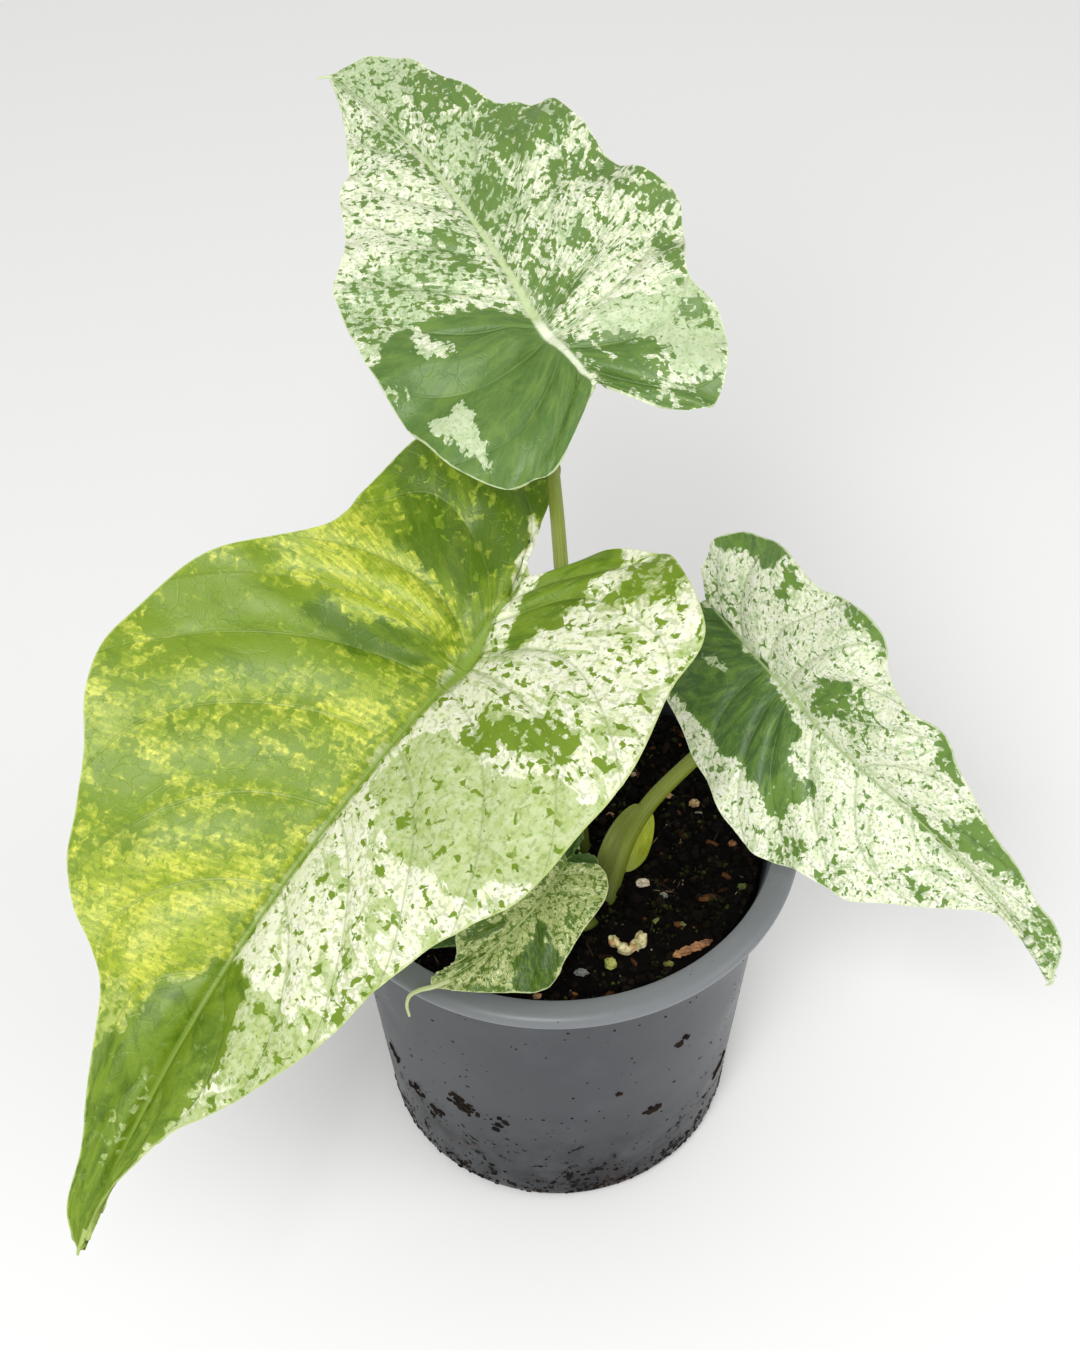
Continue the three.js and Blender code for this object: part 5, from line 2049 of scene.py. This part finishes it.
LARGE_LEAF = Leaf(
    name="large", seat=(-20, -27.5, 186.5), heading=225, pitch=-19, roll=0,
    bend_front=0.0035, bend_back=0.002, midrib_bow=0.0, seam_slope=-0.13, half_width=56, vein_turn=0.6,
    left=Half(20, 0.006, (2.5, 38, 120), (
        (147.5, -5.5), (131.5, -6), (114, -13), (104, -19.5), (93, -27), (82, -32.5), (71, -37), (60, -38.5),
        (50, -41.5), (41, -47.5), (31.5, -52.5), (16, -52), (5, -53), (-5, -52.5), (-20, -45.5), (-33.5, -43),
        (-43, -26), (-42, -19.5), (-37.5, -9.5), (-29.5, -2.5), (-23.5, 3),
    )),
    right=Half(30, 0.0005, (3, 52, 60), (
        (147.5, -5.5), (140, 1), (127, 4.5), (114.5, 10), (98, 17.5), (91, 24.5), (86, 33), (79, 40),
        (69.5, 43.5), (60, 48), (51, 55), (42, 60), (33, 61), (25, 59.5), (16, 55), (7, 47.5), (-2, 41),
        (-8, 40), (-15, 41.5), (-30, 41.5), (-40, 35.5), (-47, 26.5), (-48.5, 16), (-40, 11), (-30, 7.5),
        (-23.5, 3),
    )),
    veins=(0.14, 0.225, 0.31, 0.39, 0.475, 0.56, 0.65, 0.74, 0.83, 0.92),
    finish=LeafFinish("#f4f4e2", "#e3e9c0", "#afc178", "#6f8b1c", "#466704", warm="#7f992c", yellow="#d4d854",
                      lime="#abba33", olive="#75901f", vein="#8fa55c", midrib="#86a03a", seam="#8aa544",
                      margin="#b9cb76", speckle=42.0, streak=0.35, margin_width=0.4, pale_flecks=0.17,
                      rib_show=0.9, rib_shadow=0.6, vein_show=0.45),
    ground={"green": 0.18, "sage": 0.34},
    seed=2.0, rows=260, columns=52, quilt=1.4, pucker=0.6, pucker_count=9.0, rib_width=0.95, groove=0.9,
    vein_bow=0.13, thread=((2.2, 3.0, 4.1), (1.0, 1.4, 1.9), (0, 0, 0), (-0.2, -0.3, -0.9)),
    thread_radius=(1.0, 0.25),
    creases=(
        Crease(((1, 3), (7, 16), (10, 28), (8, 46)), 3.4, 4.2),
        Crease(((-6, 10), (-8, 24), (-4, 40)), -1.6, 7.0),
        Crease(((-4, 3), (-18, 14), (-32, 26)), 2.8, 4.0),
        Crease(((-14, 3), (-28, 12), (-40, 18)), -1.8, 4.5),
        Crease(((4, -4), (10, -16), (12, -34)), 1.4, 4.0),
        Crease(((-6, -4), (-18, -14), (-26, -30)), 1.2, 4.5),
    ),
    patches=(
        Patch(((160, -1), (100, -0.5), (0, 0), (-10, 1), (-24, 3.5), (-26, 3.5), (-60, 12), (-60, 70),
               (160, 70)), lime=1.0, green=0.46, sage=0.5, feather=0.9),
        Patch(((84, 4), (92, 9), (100, 14), (109, 15), (106, 20), (100, 25), (92, 31), (80, 36), (70, 28),
               (60, 12), (56, 2)), green=0.1, sage=0.3, feather=3.5),
        Patch(((62, 32), (56, 52), (46, 60), (46, 44), (54, 30)), green=0.25, feather=4),
        Patch(((70, 30), (62, 44), (52, 42), (56, 30)), green=0.8, feather=3),
        Patch(((50, 8), (50, 30), (36, 28), (30, 12), (30, 2), (44, 2)), green=0.66, feather=4),
        Patch(((34, 40), (36, 58), (24, 62), (12, 46), (10, 28), (14, 16), (20, 26), (28, 30)),
              green=0.9, feather=3),
        Patch(((28, 3), (26, 14), (18, 14), (14, 4)), green=0.1, sage=0.1, feather=3),
        # Partly painted shade: this dark green along the top lobe's crease at the seat deepens the leaf's own
        # dark green for the shade in the crease.
        Patch(((12, 18), (13, 30), (8, 32), (2.5, 17), (-1, 4), (3, 4), (6, 9)),
              green=1.0, deep=0.7, feather=1.5),
        Patch(((6, 20), (8, 40), (0, 46), (-10, 42), (-11, 18), (-4, 7)), green=0.1, sage=0.3, feather=3.0),
        # Partly painted shade: the back lobe's dark green by the sunken seat is deepened for the shade there.
        Patch(((-10, 14), (-10, 24), (-16, 34), (-20, 44), (-34, 46), (-52, 30), (-52, 14), (-38, 9),
               (-24, 6.5), (-14, 8)), green=0.93, deep=0.92, feather=3),
        Patch(((-28, 18), (-20, 28), (-32, 40), (-44, 34), (-40, 20)), green=0.72, deep=0.6, feather=4),
        Patch(((-8, 2), (-10, 8), (-20, 6), (-20, 3)), green=0.9, deep=0.4),
        Patch(((-19, 3.8), (-24, 6.5), (-31, 8.6), (-36, 11), (-34, 7), (-27, 4), (-22, 2.6)),
              green=0.02, sage=0.1, lime=0.0, feather=0.7),
        Patch(((156, 6), (156, -8), (130, -8), (118, -12), (105, -15), (92, -16.5), (84, -13), (77, -12),
               (76, -3), (78, 0), (84, 4), (92, 8), (97, 9), (104, 13), (112, 13), (126, 8)),
              green=0.97, sage=0.8, deep=0.32, lime=0.45, feather=1.2),
        Patch(((128, -2), (128, 2), (108, 1), (108, -3)), green=0.75, sage=0.9, lime=0.2, feather=2),
        Patch(((108, 13), (108, 18), (96, 20), (92, 14), (97, 10)), green=0.25, lime=0.9, feather=1.5),
        Patch(((128, -9), (128, -14), (100, -26), (84, -40), (84, -31), (98, -19), (112, -13)),
              green=0.2, sage=0.7, feather=1.0),
        Patch(((96, -18), (96, -27), (88, -31), (78, -34), (76, -22), (77, -12), (86, -14)),
              green=0.26, sage=0.97, feather=1.2),
        Patch(((76, -3), (76, -14), (60, -10), (52, -6), (52, -2)), green=0.1, sage=0.25, feather=2),
        Patch(((72, -34), (72, -40), (62, -40), (62, -30)), green=0.5, feather=2),
        Patch(((48, -30), (48, -40), (40, -50), (38, -30)), green=0.16, sage=0.2, feather=2),
        Patch(((38, -22), (38, -40), (30, -50), (20, -56), (8, -54), (10, -40), (16, -30), (13, -10),
               (20, -4), (30, -4), (36, -14)), green=0.12, sage=1.0, feather=1.4),
        Patch(((36, -20), (34, -16), (31, -17), (32, -22)), green=0.8, sage=1.0, feather=1.0),
        Patch(((15, -17), (12, -24), (7, -38), (2, -41), (-1.5, -38), (-1, -31), (4, -27), (3, -18),
               (8, -14)), green=0.7, sage=0.6, feather=2.0),
        Patch(((-7, -6.5), (-10, -11), (-18, -14), (-28, -14), (-37, -16), (-42, -10), (-34, -3), (-26, -1),
               (-16, -4)), green=0.97, deep=0.25, sage=0.9, lime=0.3, feather=0.9),
        Patch(((-26, -20), (-30, -28), (-36, -34), (-44, -32), (-45, -22), (-36, -18)),
              green=0.62, sage=0.5, lime=0.3, feather=2.4),
        Patch(((-12, -26), (-16, -36), (-24, -42), (-24, -30)), green=0.3, sage=0.3, feather=2),
        Patch(((170, 14), (170, -24), (139, -12), (139, 6)),
              green=1.0, sage=1.0, deep=0.3, lime=1.0, feather=2),
    ),
)
RIGHT_LEAF = Leaf(
    name="right", seat=(54.7, 0.5, 145), heading=-55, pitch=-12.5, roll=-54,
    bend_front=0.0075, bend_back=0.0048, midrib_bow=-0.0026, seam_slope=0.0, half_width=30, vein_turn=0.5,
    left=Half(19, 0.0045, (2, 21, 40), (
        (89.5, 8.5), (85, 0), (79, -4.5), (72, -7), (62, -11), (52, -14.5), (42.5, -19), (36, -22.5),
        (30, -24), (23, -23), (16, -24), (12, -28), (8, -31.5), (4, -33), (-4, -29.5), (-10.5, -26.5),
        (-21.5, -27), (-30, -23), (-35, -19), (-39.5, -12), (-39, -6.5), (-37.5, -3), (-32, 1.5),
    )),
    right=Half(15, 0.0045, (1.5, 26, 0), (
        (89.5, 8.5), (85.5, 5.5), (77, 4), (69, 3.5), (60, 8.5), (51, 16), (42.5, 23), (36, 24.5), (29.5, 26),
        (24, 30), (18.5, 32), (10.5, 30.5), (3.5, 28.5), (-4, 28), (-11, 26), (-18, 23.5), (-30.5, 22),
        (-35.5, 18.5), (-38.5, 12.5), (-38, 6.5), (-32, 1.5),
    )),
    veins=(0.15, 0.24, 0.33, 0.42, 0.51, 0.61, 0.72, 0.84, 0.93),
    finish=LeafFinish("#f1f2e2", "#dde5c0", "#b9cb99", "#648538", "#43642b", warm="#75963a", margin="#dbe5bd",
                      vein="#9db07c", midrib="#a9bf7c", seam="#a9bd84", speckle=58.0, streak=0.3,
                      margin_width=0.3, pale_flecks=0.15, rib_show=0.85, fleck_depth=0.45, vein_show=0.5,
                      rib_shadow=0.3),
    ground={"green": 0.15, "sage": 0.3},
    thread=((-0.4, 0.9, 0.6), (0.1, 0, -0.7), (-0.5, -0.2, -1.6), (-1.4, -0.2, -1.8)),
    thread_radius=(0.6, 0.2),
    seed=3.0, rows=220, columns=36, pucker=0.6, pucker_count=11.0, rib_width=0.6, quilt=1.1,
    creases=(
        Crease(((2, -2), (9, -10), (13, -22)), 1.6, 3.5),
        Crease(((-4, -2), (-14, -10), (-20, -20)), 0.9, 3.5),
        Crease(((4, 3), (14, 12), (20, 24)), 1.1, 3.5),
        Crease(((-4, 2), (-14, 10), (-20, 18)), 0.8, 3.5),
    ),
    patches=(
        Patch(((95, 10), (95, 0), (80, -8), (72, -6), (74, 0), (80, 4)), green=0.5, sage=0.6, feather=2),
        Patch(((67, -7), (62, -6.5), (55, -5), (51, -4.5), (47, -7), (49, -12), (52, -16), (60, -15),
               (68, -11)), green=0.86, sage=0.8, feather=1.6),
        Patch(((51, -1.5), (51, -4.2), (38, -3.6), (34, -2.4), (42, -1)), green=0.85, feather=0.8),
        Patch(((43, -17), (41, -22), (30, -27), (26, -24), (30, -21.5), (37, -18)), green=0.8, feather=1.4),
        Patch(((80, -3), (72, -5), (72, -8), (82, -7)), green=0.75),
        Patch(((54, 8), (52, 12), (47, 13), (46, 9)), green=0.55, feather=2),
        Patch(((41, 18), (40, 24), (34, 26), (33, 19)), green=0.55, feather=2),
        Patch(((29, 18), (28, 29), (22, 30), (22, 20)), green=0.5, feather=2),
        Patch(((24, -8), (20, -16), (12, -17), (12, -10), (18, -5)), green=0.42, sage=0.4, feather=2),
        Patch(((14, -7), (12, -14), (9, -16), (6, -13), (5, -4), (7, -2.5), (11, -6)),
              green=0.84, deep=0.2, feather=1.6),
        Patch(((14, -28), (7, -36), (-4, -33), (-1, -28.5), (6, -29.5), (11, -26)), green=0.78, feather=1.8),
        Patch(((-12, -18), (-16, -27), (-18, -27), (-17, -18)), green=0.74, feather=1.2),
        Patch(((-19, -23), (-20, -30), (-34, -26), (-42, -14), (-37, -12), (-30, -16.5), (-24, -20)),
              green=0.97, sage=0.7, deep=0.3, feather=0.9),
        Patch(((-20, -2), (-24, -8), (-36, -6), (-34, -1)), green=0.4, feather=2),
        Patch(((20, 12), (19, 20), (12, 20), (6, 19), (0, 20.5), (-10, 20), (-22, 21.5), (-31, 19.5),
               (-42, 14), (-42, 6), (-32, 0.6), (-20, 0.4), (-10, 0.8), (-2, 1), (4, 3), (9, 6), (11, 10),
               (17, 10.5)), green=1.0, sage=0.6, deep=0.62, feather=0.8),
        Patch(((19, 12), (19, 20), (13, 20), (10, 16), (12, 10)), green=0.93, deep=0.1, feather=1.2),
        Patch(((-14, 6), (-18, 8.5), (-22, 9.6), (-22, 8.2), (-17, 6.4)), green=0.25, sage=1.0, feather=0.6),
    ),
)
FRONT_LEAF = Leaf(
    name="front", seat=(-4, -36.9, 118), heading=226, pitch=-20, roll=26,
    bend_front=0.0105, bend_back=0.004, midrib_bow=0.0044, seam_slope=-0.1, half_width=15, vein_turn=0.5,
    left=Half(13, 0.005, (0.8, 13, 0), (
        (31, 6.2), (29.5, 3.8), (26.5, -0.5), (23, -5), (19.5, -9), (16, -13), (12, -14.5), (6, -13),
        (-1, -12), (-8.5, -11.5), (-13, -9.5), (-15, -5.5), (-13, -2), (-11, 1),
    )),
    right=Half(10, 0.005, (0.8, 14, 90), (
        (31, 6.2), (29.5, 7.6), (27, 7), (24.5, 6), (21.5, 6.8), (18, 10), (12, 13), (6, 14.5), (0, 14),
        (-6.5, 12), (-11, 8), (-12.5, 4), (-11, 1),
    )),
    veins=(0.2, 0.32, 0.44, 0.57, 0.72, 0.86),
    finish=LeafFinish("#dde1ac", "#bfca84", "#9fad64", "#4f6e1a", "#2d4c06", warm="#738c28", margin="#d3dda8",
                      vein="#a3b270", midrib="#b3c27a", seam="#97a85c", speckle=85.0, margin_width=0.3),
    ground={"green": 0.36, "sage": 0.62},
    seed=4.0, rows=120, columns=24, quilt=0.3, pucker=0.25, groove=0.25, rib_width=0.5,
    thread=((4.2, 0.8, 1.4), (-0.1, -0.1, 0.1), (-3, -0.2, -0.9), (-5.2, -0.4, -2.7), (-6, -1.2, -5.3),
            (-5.5, -2.3, -8.1)), thread_radius=(0.75, 0.3),
    patches=(
        Patch(((3, -0.8), (8, -3), (15, -4.5), (18, -7), (19, -12), (13, -16), (8, -13), (5, -9.5), (3, -5)),
              green=1.0, deep=0.55, feather=0.5),
        Patch(((6, -9), (7, -8), (6, -6.5), (5, -7.5)), green=0.1, feather=0.4),
        Patch(((27, -1), (26, 2), (21, -2.6), (19.5, -7), (22, -7.5)), green=0.8, feather=0.7),
        Patch(((24, 2), (24, 5), (20, 4.5), (20, 2.5)), green=0.7, feather=0.7),
        Patch(((17, 8), (16, 5.5), (10, 3), (8, 3.5), (12, 7.5)), green=0.85, deep=0.4, feather=0.7),
        Patch(((0, -7), (0, -10), (-2.5, -10), (-2, -7)), green=0.7, feather=0.7),
        Patch(((-9, -1), (-10, 4), (-14, 4), (-13, -1)), green=0.7, feather=1),
    ),
)
INNER_LEAF = Leaf(
    name="inner", seat=(0.5, -19.6, 110), heading=212, pitch=-6, roll=20,
    bend_front=0.006, bend_back=0.004, midrib_bow=0.0, seam_slope=0.0, half_width=12, vein_turn=0.5,
    left=Half(10, 0.006, (0.5, 14, 0), (
        (38, 0), (31, -4), (22, -7.5), (12, -9), (3, -9), (-4, -8), (-8, -5), (-7.5, -2), (-4, 0),
    )),
    right=Half(10, 0.006, (0.5, 14, 90), (
        (38, 0), (31, 4.5), (22, 9), (12, 11), (3, 11), (-5, 9.5), (-9.5, 6), (-8.5, 2.5), (-4, 0),
    )),
    veins=(0.2, 0.34, 0.48, 0.63, 0.8),
    finish=LeafFinish("#a9bd7a", "#9cb36c", "#7f9c50", "#4f7226", "#34541a", warm="#587a2a", margin="#8fa765",
                      vein="#5f7f38", midrib="#6c8a3d", seam="#6c8a3d", speckle=90.0, margin_width=0.3),
    ground={"green": 0.93, "sage": 0.6, "deep": 0.6},
    seed=5.0, rows=110, columns=20, quilt=0.3, pucker=0.2, groove=0.25, rib_width=0.6, patches=(),
)
LEAVES = (TOP_LEAF, LARGE_LEAF, RIGHT_LEAF, FRONT_LEAF, INNER_LEAF)


def build_stalks() -> None:
    """Builds the stalks of the five blades, and the sheath of the right one."""
    plain = PetioleFinish()
    stalks = (
        Petiole(TOP_LEAF, foot=(6, -3), through=((5, -2.6, 112), (1.2, 2.8, 200)), lead=6,
                foot_radius=2.8, top_radius=1.3, finish=plain, steps=120),
        Petiole(LARGE_LEAF, foot=(-3, -6), through=((-3.6, -7, 112), (-9, -14, 148)), lead=9,
                foot_radius=2.8, top_radius=1.7, finish=plain, steps=100),
        Petiole(FRONT_LEAF, foot=(9, -24.5), through=((5, -32.5, 102.5),), lead=4,
                foot_radius=1.5, top_radius=0.9, finish=plain, steps=60, sides=20),
        Petiole(INNER_LEAF, foot=(3, -14), through=((3, -15, 100),), lead=4,
                foot_radius=1.4, top_radius=0.9, finish=plain, steps=50, sides=20),
    )
    for stalk in stalks:
        stalk.dress(stalk.build())
    sheathed = Petiole(
        RIGHT_LEAF, foot=(12, -18.5), lead=5, foot_radius=2.8, top_radius=1.5, steps=130,
        through=((14, -14.4, 99), (17.4, -8.9, 106), (22.8, -3.9, 113), (34.1, 4.4, 120), (46, 8.5, 130.5)),
        finish=PetioleFinish("#939f2e", "#6b7a1e"),
    )
    stalk = sheathed.build()
    wings = (
        Wing("wing_right", towards=(0.85, -0.35, -0.45), width=4.1, start=0.14, peak=0.21, end=0.335,
             curl=1.5, notch=0.6),
        Wing("wing_left", towards=(-0.85, 0.25, 0.35), width=3.3, start=0.02, peak=0.2, end=0.338,
             curl=0.5, notch=0.42, front=0.72),
    )
    for number, wing in enumerate(wings, 1):
        join(stalk, wing.build(sheathed), number)
    # Painted light: the right wing's green is brightened for light shining through it while it stands in
    # shade.
    painted_glow = PetioleFinish("#b8c22e", "#8f9d1e", glow=0.25).make("sheath_right")
    olive = PetioleFinish("#869228", "#62701b", glow=0.1).make("sheath_left")
    sheathed.dress(stalk, painted_glow, olive)


def lay_loose_pieces(soil: Soil) -> None:
    """Builds the stones and bark on the soil.

    Args:
        soil: The soil that they lie on.
    """
    stones = (
        Grain("pumice_white", Slot.PUMICE, StoneFinish("#e9dfc9", "#c6b394", "#54402c", "#a8895c"),
              seed=1.0),
        Grain("pumice_grey", Slot.PUMICE, StoneFinish("#8f9089", "#5f6059", "#2b2a26", "#6d6c58"),
              seed=2.0),
        Grain("grit_mossy", Slot.MOSSY_GRIT, StoneFinish("#8c9140", "#5c6423", "#2a2d12", "#b8ba62", 0.9),
              seed=3.0),
        Grain("grit_tan", Slot.TAN_GRIT, StoneFinish("#b49468", "#8a6a42", "#3d2a18", "#d0b88e"),
              seed=4.0),
    )
    for stone in stones:
        stone.build()
    for number, pebble in enumerate(PEBBLES, 1):
        pebble.build(number, soil)
    BarkChip().build()
    BarkCurl().build()


def dress_stem() -> None:
    """Gives the stem of the frame its bark-like finish."""
    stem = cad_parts["stem"]
    stem.data.materials.clear()
    stem.data.materials.append(WoodFinish("#2c2212", "#4e4620", "#3a3f16").make("stem"))


def clear_spots() -> tuple[Place, ...]:
    """Lists where the soil is level under a loose piece, from the frame.

    Returns:
        x, y and radius in mm.
    """
    spots = []
    for node in ("pumice_white", "pumice_grey", "grit_mossy", "grit_tan", "bark_chip", "bark_curl"):
        low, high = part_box(node)
        middle = (low + high) / 2 / MM
        spots.append((middle.x, middle.y, max(high.x - low.x, high.y - low.y) / 2 / MM))
    return tuple(spots)


def main() -> None:
    """Builds and dresses every piece in order."""
    logging.basicConfig(level=logging.INFO, format="%(message)s")
    studio = Studio()
    studio.set_camera()
    for leaf in LEAVES:
        leaf.build()
    build_stalks()
    pot = Pot()
    pot.build()
    soil = Soil(pot, keep_clear=clear_spots())
    soil.build()
    crumb = Crumb()
    soil.strew(crumb)
    lay_loose_pieces(soil)
    PotDirt(pot).build(crumb)
    dress_stem()
    studio.lay_floor()
    studio.light_up()


if __name__ == "__main__":
    main()
